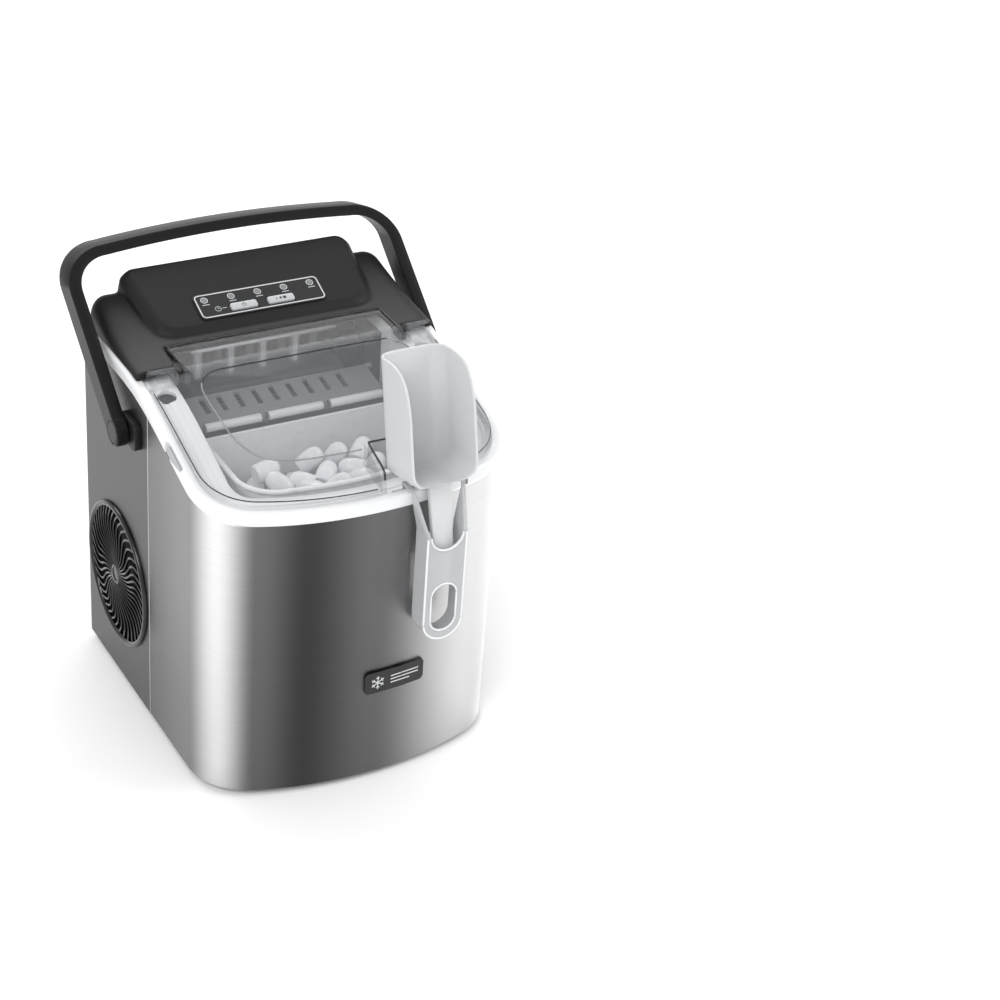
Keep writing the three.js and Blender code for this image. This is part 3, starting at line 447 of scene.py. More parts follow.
def steel_material(name, tones, rough):
    """Steel brushed round the casing, with painted reflection bands in its base colour; tones are (distance
    along the sheet in mm, grey).
    """
    mat = material(name, (0.5, 0.5, 0.5), rough, 1.0, fine=1.0, stretch=(14, 14, 2600),
                   bump=0.05, Anisotropic=0.55)
    tree = mat.node_tree
    bsdf = tree.nodes["Principled BSDF"]
    noise = next(n for n in tree.nodes if n.type == "TEX_NOISE")
    set_inputs(noise, Detail=3)
    run = add_node(tree, "Attribute")
    run.attribute_name = "run"
    first, last = tones[0][0], tones[-1][0]
    place = add_node(tree, "MapRange", From_Min=first, From_Max=last)
    link(tree, run, "Fac", place, "Value")
    ramp = add_node(tree, "ValToRGB")
    ramp.color_ramp.interpolation = "EASE"
    elements = ramp.color_ramp.elements
    while len(elements) < len(tones):
        elements.new(0.5)
    # These stops paint the reflection bands into the base colour.
    for element, (at, grey) in zip(elements, tones):
        element.position = (at - first) / (last - first)
        linear = grey**2.2
        element.color = (linear, linear, linear * 1.01, 1)
    link(tree, place, "Result", ramp, "Fac")
    streak = add_node(tree, "MapRange", To_Min=0.9, To_Max=1.1)
    link(tree, noise, "Fac", streak, "Value")
    mix = add_node(tree, "VectorMath")
    mix.operation = "SCALE"
    link(tree, ramp, "Color", mix, 0)
    link(tree, streak, "Result", mix, "Scale")
    link(tree, mix, "Vector", bsdf, "Base Color")
    tangent = add_node(tree, "Tangent")
    tangent.direction_type = "RADIAL"
    tangent.axis = "Z"
    link(tree, tangent, "Tangent", bsdf, "Tangent")
    return mat


# Painted reflections: the steel's base colour is painted lighter round each corner as painted glints and
# darker across the bow as painted shade.
# The stops are set by the sheet's own stretches: straight side, corner, bow, corner, side.
SIDE_RUN = SEAM_Y - CORNER_Y
CORNER_RUN = CORNER_R * (math.pi / 2 - BOW_ANGLE)
BOW_RUN = 2 * BOW_R * BOW_ANGLE
BOW_START = SIDE_RUN + CORNER_RUN
BOW_END = BOW_START + BOW_RUN
FRONT_PAINTED_REFLECTIONS = [
    (0, 0.45),
    (SIDE_RUN, 0.55),
    (SIDE_RUN + CORNER_RUN / 2, 0.9),
    (BOW_START, 0.4),
    (BOW_START + BOW_RUN / 5, 0.25),
    (BOW_START + BOW_RUN / 2, 0.4),
    (BOW_END, 0.85),
    (BOW_END + CORNER_RUN / 2, 0.95),
    (BOW_END + CORNER_RUN, 0.5),
    (BOW_END + CORNER_RUN + SIDE_RUN, 0.45),
]
M_FRONT = steel_material("front_steel_painted_reflections", FRONT_PAINTED_REFLECTIONS, 0.36)
M_SIDE = material("side_steel", (0.125, 0.125, 0.127), 0.42, 1.0, fine=1.0,
                  stretch=(10, 10, 2400), bump=0.05, spread=0.09, Anisotropic=0.4)
# Painted highlight: a lighter copy of the side steel for the folded seam edge.
M_SEAM_HIGHLIGHT = material("seam_edge_painted_highlight", (0.42, 0.42, 0.43), 0.25, 1.0, fine=300)
M_WHITE = material("white_plastic", (0.76, 0.77, 0.78), 0.32, fine=260, spread=0.015, bump=0.03,
                   Coat_Weight=0.15)
# Painted shade: the white plastic made darker for the tank liner, which sits in shade inside the cabinet.
M_LINER_SHADED = material("liner_white_painted_shade", (0.60, 0.61, 0.62), 0.4, fine=260, spread=0.03, bump=0.03)
M_BLACK = material("satin_black", (0.009, 0.0092, 0.0097), 0.45, fine=2600, spread=0.2, bump=0.2,
                   Specular_IOR_Level=0.24)
M_HANDLE = material("handle_black", (0.004, 0.004, 0.0043), 0.36, fine=2200, spread=0.2, bump=0.15,
                    Specular_IOR_Level=0.22)
M_GLOSS = material("gloss_black", (0.004, 0.004, 0.0045), 0.16, fine=700, spread=0.2)
M_INNER = material("inner_black", (0.012, 0.012, 0.012), 0.6, fine=1200, spread=0.2, bump=0.1)
M_OVERLAY = material("overlay_film", (0.016, 0.0163, 0.0175), 0.34, fine=1500, spread=0.15,
                     Specular_IOR_Level=0.3)
# Painted shade: dark sheet colour for the shadowed chamber round the evaporator.
M_CHAMBER_SHADE = material("chamber_painted_shade", (0.07, 0.0705, 0.072), 0.5, fine=900, spread=0.1, bump=0.1)
M_SILVER = material("silver_print", (0.62, 0.63, 0.64), 0.35, 0.5, fine=1500)
M_LABEL = material("grey_print", (0.40, 0.41, 0.42), 0.5, fine=1500)
M_BUTTON = material("button_grey", (0.42, 0.43, 0.44), 0.35, fine=900, bump=0.05)
M_GUIDE = material("light_guide", (0.20, 0.205, 0.21), 0.2, fine=900)
M_BOARD = material("circuit_board", (0.02, 0.12, 0.05), 0.45, fine=500, spread=0.3)
M_CHROME = material("finger_nickel", (0.78, 0.79, 0.80), 0.22, 0.75, fine=500, spread=0.12,
                    stretch=(1, 1, 0.2))
M_COPPER = material("copper", (0.55, 0.24, 0.13), 0.3, 1.0, fine=300, spread=0.15)
M_FINS = material("fin_aluminium", (0.5, 0.51, 0.52), 0.4, 1.0, fine=1.0, stretch=(900, 10, 900))
M_ZINC = material("zinc_plate", (0.36, 0.37, 0.38), 0.42, 0.9, fine=160, spread=0.2)
M_COMPRESSOR = material("compressor_paint", (0.01, 0.01, 0.01), 0.35, fine=500, bump=0.2)
M_RUBBER = material("black_rubber", (0.012, 0.012, 0.012), 0.75, fine=1500, bump=0.3)
M_SHOVEL = material("shovel_white", (0.20, 0.202, 0.206), 0.35, fine=400, spread=0.03)
M_BAR = material("bar_white", (0.58, 0.585, 0.59), 0.35, fine=400, spread=0.03)
M_LID = clear_material("smoked_clear", (0.30, 0.31, 0.325), 0.05, 0.04, 0.62, 0.20, fine=60,
                       spread=0.02, rough_spread=0.3, Coat_Weight=0.5, Coat_Roughness=0.03)
# Painted shade: a darker copy of the lid's clear plastic for its rear tongue.
M_TONGUE_SHADED = clear_material("tongue_clear_painted_shade", (0.10, 0.103, 0.108), 0.06, 0.05, 0.45, 0.2, fine=60, spread=0.02)
# Painted shade and painted highlight: dark and light copies of the clear plastic for the lid's raised lines
# and thick edges.
M_LID_SHADE_EDGE = clear_material("lid_edge_painted_shade", (0.02, 0.022, 0.024), 0.12, 0.72, 0.95, fine=200)
M_LID_HIGHLIGHT = clear_material("lid_edge_painted_highlight", (0.30, 0.31, 0.32), 0.1, 0.5, 0.85, fine=200)
M_BASKET = clear_material("basket_clear", (0.84, 0.85, 0.86), 0.28, 0.66, 0.95, 0.4, fine=160,
                          spread=0.03, bump=0.03)
M_TRAY = clear_material("tray_smoke", (0.10, 0.105, 0.11), 0.25, 0.75, 0.95, fine=200)
M_HOSE = clear_material("clear_hose", (0.62, 0.64, 0.66), 0.15, 0.4, 0.8, fine=200)
M_HOLDER = clear_material("holder_frosted", (0.52, 0.53, 0.54), 0.25, 0.62, 1.0, 0.45, fine=240,
                          spread=0.02, bump=0.03)
M_SCOOP = clear_material("scoop_frosted", (0.62, 0.63, 0.64), 0.30, 0.86, 1.0, 0.5, fine=240,
                         spread=0.015, bump=0.04, Coat_Weight=0.1)
M_ICE = clear_material("ice", (0.90, 0.92, 0.94), 0.15, 0.62, 0.97, 0.4, fine=240, spread=0.06,
                       bump=0.1)


# ------------------------------------------------------------------ casing
def front_wrap():
    path = front_path(0, SEAM_Y, 14, 26, 40)
    inner = front_path(1.0, SEAM_Y, 14, 26, 40)
    mid = front_path(0.35, SEAM_Y, 14, 26, 40)
    sections = []
    for p, m, q in zip(path, mid, inner):
        top = steel_top(p[1])
        sections.append([
            (*p, BASE_Z + 0.5), (*m, BASE_Z), (*q, BASE_Z), (*q, top), (*m, top), (*p, top - 0.4),
        ])
    obj = make("front_wrap_skin", strip_mesh(sections))
    run, distance = [], 0.0
    for i, p in enumerate(path):
        if i:
            distance += math.dist(p, path[i - 1])
        run += [distance] * 6
    attribute = obj.data.attributes.new("run", "FLOAT", "POINT")
    attribute.data.foreach_set("value", run)
    piece(obj, "casing", M_FRONT, ["front_wrap"], 40)


def seam(side):
    """Folded edge where the front sheet meets the side sheet, in a lighter steel than the side sheet: a
    painted highlight line.
    """
    x = side * HALF
    sections = []
    for k in range(15):
        z = BASE_Z + 0.3 + k / 14 * (steel_top(SEAM_Y) - BASE_Z - 0.8)
        sections.append([
            (x - side * 0.6, SEAM_Y - 0.6, z), (x + side * 0.12, SEAM_Y - 0.4, z),
            (x + side * 0.28, SEAM_Y + 0.2, z), (x + side * 0.12, SEAM_Y + 0.9, z),
            (x - side * 0.6, SEAM_Y + 1.0, z),
        ])
    obj = make(f"seam_fold_{SIDE_NAME[side]}", strip_mesh(sections))
    piece(obj, "casing", M_SEAM_HIGHLIGHT, sharp=60)


def top_frame():
    rings = [
        rim_ring(-0.6, 0.6), rim_ring(-1, 1.2), rim_ring(-1, 6.8), rim_ring(-0.75, 8.2),
        rim_ring(0, 9.3), rim_ring(0.9, 9.85), rim_ring(2.0, RIM_H), rim_ring(5.0, RIM_H),
        rim_ring(5.6, 9.7), rim_ring(6.1, DECK_H + 0.4), rim_ring(6.6, DECK_H),
        rim_ring(10.6, DECK_H), rim_ring(11.2, DECK_H - 0.9), rim_ring(14.6, DECK_H - 0.9),
        rim_ring(15.2, DECK_H - 0.1), rim_ring(19.4, DECK_H - 0.1), rim_ring(20.0, DECK_H - 0.8),
        rim_ring(DECK_INSET - 2.2, DECK_H - 0.8), rim_ring(DECK_INSET - 0.8, DECK_H - 1.4),
        rim_ring(DECK_INSET, DECK_H - 3), rim_ring(DECK_INSET, 0, INNER_WALL_Z),
        rim_ring(DECK_INSET - 2, 0, INNER_WALL_Z), rim_ring(DECK_INSET - 2, DECK_H - 3.6),
        rim_ring(3.4, DECK_H - 2.6), rim_ring(3.4, -6), rim_ring(1.5, -6), rim_ring(1.5, 0.6),
    ]
    obj = make("top_frame_rim", loop_mesh(rings))
    cut(
        obj,
        box_mesh(HOLDER_X - 28, HOLDER_X + 28, -113.6, -108.4, 205, 240),
        box_mesh(-120, -110.6, -55, -29, 236, 246.2),
        *[lathe_mesh("z", (s * 96, 9, 0), [(245, 6.5), (270, 6.5)], 32) for s in (-1, 1)],
        *[lathe_mesh("x", (0, HINGE_Y, HINGE_Z), [(a, HUMP_R + 0.4), (a + 19.5, HUMP_R + 0.4)], 64)
          for a in (-105, 85.5)],
    )
    piece(obj, "casing", M_WHITE, ["top_frame"], 30)


def rim_recess_plate():
    """Grey plate set in the recess of the left rim."""
    pts = [(-54.2, 0.7), (-29.8, 0.7), (-31.5, 7.6), (-52.5, 7.6)]
    verts = []
    for x in (-112.2, -111.0):
        for y, h in pts:
            verts.append((x, y, steel_top(y) + h))
    obj = make("rim_recess_plate", (verts, BLOCK_FACES))
    bevelled(obj, 0.3)
    piece(obj, "casing", M_LABEL)


def hinge_cap(side):
    z = steel_top(9) + DECK_H
    profile = [(z - 4, 6.0), (z - 1.0, 6.1), (z - 0.5, 5.6), (z - 0.5, 4.4), (z - 1.2, 4.0),
               (z - 1.2, 1.6), (z - 0.7, 1.2), (z - 0.7, 0)]
    name = SIDE_NAME[side]
    obj = make(f"hinge_cap_disc_{name}", lathe_mesh("z", (side * 96, 9, 0), profile))
    piece(obj, "casing", M_RUBBER, [f"hinge_cap_{name}"], 40)


def screws():
    heads = [(-100, 20), (100, 20), (-100, 238), (100, 238), (-60, 60), (60, 60), (-60, 160), (60, 160)]
    for i, (x, z) in enumerate(heads):
        y = BODY_REAR
        profile = [(y - 1, 1.6), (y + 0.1, 3.2), (y + 0.8, 3.0), (y + 1.3, 2.2), (y + 1.5, 0.01)]
        obj = make(f"rear_screw_{i + 1}", lathe_mesh("y", (x, 0, z), profile, 24))
        cut(
            obj,
            box_mesh(x - 1.7, x + 1.7, y + 0.7, y + 3, z - 0.3, z + 0.3),
            box_mesh(x - 0.3, x + 0.3, y + 0.7, y + 3, z - 1.7, z + 1.7),
        )
        piece(obj, "casing", M_ZINC, sharp=30)


def badge():
    """Generic snowflake on the front plate."""

    def on_bow(x, z, lift):
        r = BOW_R + 1.5 + lift
        return (x, BOW_Y - math.sqrt(r * r - x * x), z)

    def bar(a, b, width):
        (xa, za), (xb, zb) = a, b
        dx, dz = xb - xa, zb - za
        n = math.hypot(dx, dz)
        ox, oz = -dz / n * width / 2, dx / n * width / 2
        corners = [(xa + ox, za + oz), (xb + ox, zb + oz), (xb - ox, zb - oz), (xa - ox, za - oz)]
        verts = [on_bow(x, z, -0.1) for x, z in corners] + [on_bow(x, z, 0.22) for x, z in corners]
        parts.append((verts, BLOCK_FACES))

    parts = []
    cx, cz = 2.6, 81.5
    for k in range(6):
        a = math.radians(60 * k + 30)
        tip = (cx + 5.2 * math.cos(a), cz + 5.2 * math.sin(a))
        bar((cx, cz), tip, 0.7)
        for turn in (-0.9, 0.9):
            root = (cx + 3.0 * math.cos(a), cz + 3.0 * math.sin(a))
            end = (root[0] + 1.7 * math.cos(a + turn), root[1] + 1.7 * math.sin(a + turn))
            bar(root, end, 0.55)
    for z, x1 in ((84.2, 34.5), (81.5, 34.5), (78.8, 27.5)):
        bar((12.5, z), (x1, z), 0.8)
    obj = make("badge_motif", joined_mesh(parts))
    piece(obj, "casing", M_SILVER, sharp=30)


# ------------------------------------------------------------------ cover
def cover_ring(inset, z, front):
    """Right half from the front to the rear, then the left half back: pairs share a y."""
    x = HALF - inset
    rear = BODY_REAR - inset
    r = max(14 - inset, 2)
    half = [(x * k / 6, front) for k in range(1, 7)]
    half[0] = (4, front)
    half += [(x, front + (rear - r - front) * i / 16) for i in range(1, 16)]
    half += arc(x - r, rear - r, r, 0, 90, 8)
    half += [(x * k / 6, rear) for k in range(4, 0, -1)]
    ring = half + [(-px, py) for px, py in reversed(half)]
    return [(px, py, z(py)) for px, py in ring]


def cover_shoulder(grow):
    base = lambda y: steel_top(y) + RIM_H + 0.4
    front = COVER_FRONT_Y + grow

    def mix(t):
        return lambda y: base(y) + t * (shoulder_top(y) - base(y)) - grow

    shape = [(0.6, 0.0), (0.6, 0.30), (0.8, 0.45), (1.4, 0.58), (2.6, 0.72), (4.4, 0.84), (7, 0.93),
             (10, 0.98), (14, 1.0)]
    rings = []
    for i, (inset, t) in enumerate(shape):
        z = mix(t) if i else (lambda y: base(y) - (3 if grow else 0))
        rings.append(cover_ring(inset + grow, z, front))
    return stack_mesh(rings, True)


def panel_ring(inset, drop, grow):
    rear = min(BODY_REAR - 3.5 - inset, BODY_REAR - 1 - grow)
    front = PANEL_Y - 1 + inset
    rear_w, front_w = 83 - inset, 78 - inset
    half = [(x, front) for x in (6, 20, 34, 48, 60)]
    half += arc(front_w - 13, front + 13, 13, -90, -10, 8)
    half += arc(rear_w - 7, rear - 7, 7, -10, 90, 8)
    half += [(x, rear) for x in (66, 50, 34, 20, 6)]
    ring = half + [(-x, y) for x, y in reversed(half)]
    return [(x, y, panel_top(y) - drop - grow) for x, y in ring]


def cover_panel(grow):
    low = panel_ring(-7 + grow, 0, grow)
    foot = [(x, min(y, 117 - grow), shoulder_top(y) - 4 - grow) for x, y, z in low]
    return stack_mesh([foot, panel_ring(-5 + grow, 6, grow), panel_ring(-1 + grow, 1.6, grow),
                       panel_ring(1.5 + grow, 0, grow)])


def panel_matrix(x, y, lift=0.0):
    turn = Matrix.Rotation(math.atan(PANEL_SLOPE), 4, "X")
    return Matrix.Translation((x, y, panel_top(y))) @ turn @ Matrix.Translation((0, 0, lift))


def placed(mesh, matrix):
    verts, faces = mesh
    return [tuple(matrix @ Vector(v)) for v in verts], faces


def top_cover():
    obj = make("top_cover_skin", cover_shoulder(0))
    cut(obj, box_mesh(-RECESS_HALF, RECESS_HALF, 15, RECESS_Y, 240, 300))
    join(obj, cover_panel(0))
    soften(obj, 0.9, 10)
    inner = make("inner", cover_shoulder(2.4))
    join(inner, cover_panel(2.4))
    w = RECESS_HALF + 2.4
    cut(inner, box_mesh(-w, w, 15, RECESS_Y + 2.4, 240, 300))
    boolean(obj, inner, "DIFFERENCE")
    holes = []
    for s in (-1, 1):
        slot = prism_mesh("z", rounded_rect(-10.4, 10.4, -3.5, 3.5, 1.5), -8, 4)
        holes.append(placed(slot, panel_matrix(s * BUTTON_X, BUTTON_Y)))
    for i in range(-2, 3):
        hole = lathe_mesh("z", (0, 0, 0), [(-8, 2.15), (4, 2.15)], 24)
        holes.append(placed(hole, panel_matrix(i * LED_PITCH, LED_Y)))
    cut(obj, *holes)
    ears = []
    for s in (-1, 1):
        x0 = min(s * RECESS_HALF, s * (RECESS_HALF + 3))
        disc = arc(HINGE_Y, HINGE_Z, 4.4, 90, 270, 20)
        ear = disc + [(28, HINGE_Z - 4.4), (28, HINGE_Z + 4.4)]
        ears.append(prism_mesh("x", ear, x0, x0 + 3))
    join(obj, *ears)
    pins = [lathe_mesh("x", (0, HINGE_Y, HINGE_Z),
                       [(min(s * 80, s * 86), 2.15), (max(s * 80, s * 86), 2.15)], 24) for s in (-1, 1)]
    cut(obj, *pins)
    piece(obj, "casing", M_BLACK, ["top_cover"], 50)


def overlay_print():
    """Silver outline, lamp rings and small marks on the control panel film."""
    flat = panel_matrix(0, OVERLAY_Y, 0.9)
    s = math.cos(math.atan(PANEL_SLOPE))

    def at(x, y):
        return x, (y - OVERLAY_Y) / s

    edge = []
    for inset in (1.0, 1.9):
        edge.append(rounded_rect(-47.5 + inset, 47.5 - inset, -11.5 + inset, 11.5 - inset, 4.2 - inset, 8))
    rings = [[(x, y, -0.05) for x, y in edge[0]], [(x, y, 0.14) for x, y in edge[0]],
             [(x, y, 0.14) for x, y in edge[1]], [(x, y, -0.05) for x, y in edge[1]]]
    silver = [loop_mesh(rings)]
    for i in range(-2, 3):
        cx, cy = at(i * LED_PITCH, LED_Y)
        ring = []
        for r, z in ((2.3, -0.05), (2.3, 0.14), (1.75, 0.14), (1.75, -0.05)):
            ring.append([(cx + c, cy + d, z) for c, d in circle(r + 0.35, 28)])
        silver.append(loop_mesh(ring))
    obj = make("overlay_outline", placed(joined_mesh(silver), flat))
    piece(obj, "casing", M_SILVER, sharp=30)
    marks = []

    def dash(x0, x1, y0, y1):
        marks.append(box_mesh(x0, x1, y0, y1, -0.05, 0.1))

    for i in range(-2, 3):
        cx, cy = at(i * LED_PITCH, LED_Y - 3.9)
        dash(cx - 2.6, cx + 2.6, cy - 0.35, cy + 0.35)
    cx, cy = at(-33, 70.3)
    ring = []
    for r, z in ((2.3, -0.05), (2.3, 0.1), (1.9, 0.1), (1.9, -0.05)):
        ring.append([(cx + c, cy + d, z) for c, d in circle(r, 24)])
    marks.append(loop_mesh(ring))
    dash(cx - 0.2, cx + 0.2, cy, cy + 1.6)
    dash(cx, cx + 1.3, cy - 0.2, cy + 0.2)
    dash(cx + 3.2, cx + 6.4, cy - 0.3, cy + 0.3)
    obj = make("overlay_marks", placed(joined_mesh(marks), flat))
    piece(obj, "casing", M_LABEL, sharp=30)


def button(side):
    body = "power_button" if side < 0 else "select_button"
    place = panel_matrix(side * BUTTON_X, BUTTON_Y)
    rings = []
    for inset, z in ((0, -3.4), (0, 1.2), (0.25, 1.65), (0.8, 1.9), (2.2, 1.95)):
        ring = rounded_rect(-10 + inset, 10 - inset, -3.1 + inset, 3.1 - inset, max(1.6 - inset, 0.5), 6)
        rings.append([(x, y, z) for x, y in ring])
    stem = prism_mesh("z", rounded_rect(-3, 3, -1.5, 1.5, 0.5, 2), -6.4, -3.4)
    cap = joined_mesh([stack_mesh(rings), stem])
    obj = make(f"{body}_cap", placed(cap, place))
    piece(obj, body, M_BUTTON, [body], 30)
    marks = []
    if side < 0:
        ring = []
        for r, z in ((1.6, 1.9), (1.6, 2.02), (1.2, 2.02), (1.2, 1.9)):
            ring.append([(c, d, z) for c, d in arc(0, 0, r, 120, 420, 24)])
        sections = [[ring[k][i] for k in range(4)] for i in range(25)]
        marks.append(strip_mesh(sections))
        marks.append(box_mesh(-0.2, 0.2, 0.3, 2.0, 1.9, 2.02))
    else:
        for k, w in enumerate((1.0, 1.6, 2.2)):
            x = -3.4 + k * 3.0
            dot = rounded_rect(x - w / 2, x + w / 2, -w / 2, w / 2, 0.2, 3)
            marks.append(prism_mesh("z", dot, 1.9, 2.02))
    obj = make(f"{body}_mark", placed(joined_mesh(marks), place))
    piece(obj, body, M_INNER, sharp=30)


# ------------------------------------------------------------------ lid
def lid_outline(inset, rear):
    return outline(inset, rear, 1)


def lid_ring(inset, t, rear, drop=0.0):
    seat = lid_outline(LID_INSET, rear)
    ring = []
    for p, q in zip(lid_outline(inset, rear), seat):
        low = steel_top(q[1]) + LID_SEAT_H
        ring.append((p[0], p[1], low + t * (lid_flat(p[1]) - low) - drop))
    return ring


def lid_shell(grow):
    rear = HINGE_Y - 0.35
    g = grow * LID_T
    bulge = [(0, 0), (0, 0.34), (2.6, 0.62), (8, 0.82), (16, 0.94), (27, 1)]
    steps = flat_curve(bulge, 5)
    rings = []
    for i, step in enumerate(steps):
        inset, t = max(0, step[0]), min(1, step[1])
        rings.append(lid_ring(LID_INSET + inset + g, t, rear + grow, g * 0.9 if i else 0))
    if grow:
        rings[0] = [(p[0], p[1], p[2] - 6) for p in rings[0]]
    return stack_mesh(rings)


def lid():
    x0, x1, y0 = NOTCH
    shell = make("lid_clear", lid_shell(0))
    walls = make("walls", lid_shell(0))
    boolean(shell, make("inner", lid_shell(1)), "DIFFERENCE")
    around = box_mesh(x0 - LID_T, x1 + LID_T, -140, y0 + LID_T, 200, 300)
    boolean(walls, make("frame", around), "INTERSECT")
    boolean(shell, walls, "UNION")
    z0 = lid_flat(HINGE_Y - 3) - 0.15
    lift = 0.75
    profile = [(HINGE_Y - 3, z0 - LID_T), (TONGUE_REAR_Y, z0 + lift - LID_T), (TONGUE_REAR_Y, z0 + lift),
               (HINGE_Y - 3, z0)]
    cuts = [box_mesh(x0, x1, -141, y0, 199, 301)]
    for s in (-1, 1):
        a = min(s * (TONGUE_HALF + 0.2), s * (TONGUE_HALF + 6.4))
        cuts.append(box_mesh(a, a + 6.2, HINGE_Y - 7, 60, 240, 300))
    cut(shell, *cuts)
    extra = []
    half = HALF - LID_INSET
    for s in (-1, 1):
        def span(a, b):
            return min(s * a, s * b), max(s * a, s * b)
        outer = arc(HINGE_Y, HINGE_Z, HUMP_R, 101, -28, 24)
        inner = arc(HINGE_Y, HINGE_Z, HUMP_R - LID_T, -28, 97, 24)
        extra.append(prism_mesh("x", outer + inner, *span(TONGUE_HALF + 6.3, half - 1.1)))
        for a, b in ((TONGUE_HALF - 2.2, TONGUE_HALF + 0.15), (TONGUE_HALF + 6.15, TONGUE_HALF + 8.4)):
            disc = arc(HINGE_Y, HINGE_Z, HUMP_R - 1, 0, 360, 32)[:-1]
            extra.append(prism_mesh("x", disc, *span(a, b)))
        a, b = span(TONGUE_HALF - 1, TONGUE_HALF + 7)
        extra.append(lathe_mesh("x", (0, HINGE_Y, HINGE_Z), [(a, 1.8), (b, 1.8)], 24))
    join(shell, *extra)
    piece(shell, "lid", M_LID, ["lid"], 28)
    tongue = make("lid_tongue", prism_mesh("x", profile, -TONGUE_HALF, TONGUE_HALF))
    piece(tongue, "lid", M_TONGUE_SHADED, sharp=5)


def on_lid(x, y, lift=0.0):
    return (x, y, lid_flat(y) + lift)


def lid_lines():
    """Raised outline on the lid's flat, the notch's thick edges and the rear tongue's edges; the dark beads
    carry painted shade and the light ones a painted highlight.
    """
    half = [(20, 9.0), (50, 9.0), (62, 8.6), (70, 5.6), (75.5, -1), (78, -10), (78, -32), (77, -55),
            (73, -69), (67, -78), (58, -84), (42, -88), (21, -89.5), (6, -90)]
    left = [(-x, y) for x, y in half[:-1]] + [(-6, -90), (-1, -90)]
    rear = flat_curve([(66, 8.4), (40, 9.0), (10, 9.0), (-10, 9.0)] + left[:5], 6)
    front = flat_curve(left[4:], 6)
    right = flat_curve([(66, 8.4), (72, 4), (76.5, -3), (78, -14), (78, -40), (77.5, -62)], 6)
    for name, line, mat, radius in (
        ("rear", rear, M_LID_SHADE_EDGE, 0.55),
        ("left", front, M_LID_HIGHLIGHT, 0.6),
        ("right", right, M_LID_HIGHLIGHT, 0.6),
    ):
        path = [on_lid(p[0], p[1], 0.05) for p in line]
        bead(f"lid_line_{name}", "lid", path, radius, mat)
    ring = [p for p in lid_ring(LID_INSET, 0.3, HINGE_Y - 0.35) if p[1] < 12]
    x0, x1, y0 = NOTCH
    chains = {"left": [p for p in ring if p[0] < x0 - 3], "right": [p for p in ring if p[0] > x1 + 3]}
    for side, chain in chains.items():
        chain.sort(key=lambda p: math.atan2(p[0] - 30, -40 - p[1]))
        bead(f"lid_skirt_line_{side}", "lid", chain, 0.45, M_LID_SHADE_EDGE, 6)
    z_front = 238.5
    path = smooth_curve([(x0, -110.6, z_front - 4), (x0, -110.0, z_front), (x0, -106, 241.8),
                         (x0, -98, 244.4), (x0, y0 - 4, lid_flat(y0 - 4) - 1.2), (x0, y0, lid_flat(y0))], 4)
    path += [(x, y0, lid_flat(y0)) for x in (12, 30, 50, 66, x1)]
    path += [(x1, y0 - 5, lid_flat(y0) - 1.6), (x1, -104, 242.2)]
    bead("lid_notch_edge", "lid", path, 0.75, M_LID_SHADE_EDGE)
    base = lid_flat(HINGE_Y - 3)
    for s in (-1, 1):
        path = [(s * TONGUE_HALF, y, base + 0.3 + (y - 15) * 0.022) for y in (10, 20, 34, 47.4)]
        bead(f"lid_tongue_edge_{SIDE_NAME[s]}", "lid", path, 0.5, M_LID_SHADE_EDGE)
    path = [(x, TONGUE_REAR_Y - 0.6, base + 0.75) for x in (-79.5, -40, 0, 40, 79.5)]
    bead("lid_tongue_edge_rear", "lid", path, 0.6, M_LID_SHADE_EDGE)


# ------------------------------------------------------------------ handle
def bail(half_w, length, radius):
    top = length - 5
    points = [(-half_w, y) for y in (0, 25, 50, 75)]
    points += arc(-half_w + radius, top - radius, radius, 180, 90, 16)
    reach = half_w - radius
    for i in range(1, 24):
        x = -reach + 2 * reach * i / 24
        points.append((x, top + 4.6 * (1 - (x / reach) ** 2)))
    points += arc(half_w - radius, top - radius, radius, 90, 0, 16)
    points += [(half_w, y) for y in (75, 50, 25, 0)]
    return points


def handle():
    thick, band, c = 9, 11, 1.3

    def place(p, n):
        return (p[0], PIVOT_Y + p[1] * math.sin(HANDLE_LEAN) - n * math.cos(HANDLE_TILT),
                PIVOT_Z + p[1] * math.cos(HANDLE_LEAN) + n * math.sin(HANDLE_TILT))

    corner = [(0, c), (c * 0.3, c * 0.3), (c, 0)]
    profile = [(t, band - n) for t, n in corner]
    profile += [(thick - t, band - n) for t, n in reversed(corner)]
    profile += [(t, -n) for t, n in reversed(profile)]
    depths = sorted({round(t, 3) for t, n in profile})
    lines = {t: bail(HANDLE_HALF - t, HANDLE_REACH - t, max(HANDLE_CORNER_R - t, 8)) for t in depths}
    count = len(lines[depths[0]])
    sections = [[place(lines[round(t, 3)][i], n) for t, n in profile] for i in range(count)]
    obj = make("carry_handle_bail", strip_mesh(sections))
    for s in (-1, 1):
        ends = sorted((s * (HANDLE_HALF - thick), s * HANDLE_HALF))
        prof = [(ends[0], 9.4), (ends[0] + 1, 10.4), (ends[1] - 1, 10.4), (ends[1], 9.4)]
        join(obj, lathe_mesh("x", (0, PIVOT_Y, PIVOT_Z), prof, 48))
        a, b = sorted((s * 118.4, s * 106))
        join(obj, lathe_mesh("x", (0, PIVOT_Y, PIVOT_Z), [(a, 4), (b, 4)], 32))
        groove = sorted((s * 125.9, s * 128))
        ring = []
        for r in (7.6, 8.2):
            ring += [[(groove[k], PIVOT_Y + u, PIVOT_Z + v) for u, v in circle(r, 48)]
                     for k in ((0, 1) if r < 8 else (1, 0))]
        cut(obj, loop_mesh(ring))
    piece(obj, "handle", M_HANDLE, ["carry_handle"], 26)


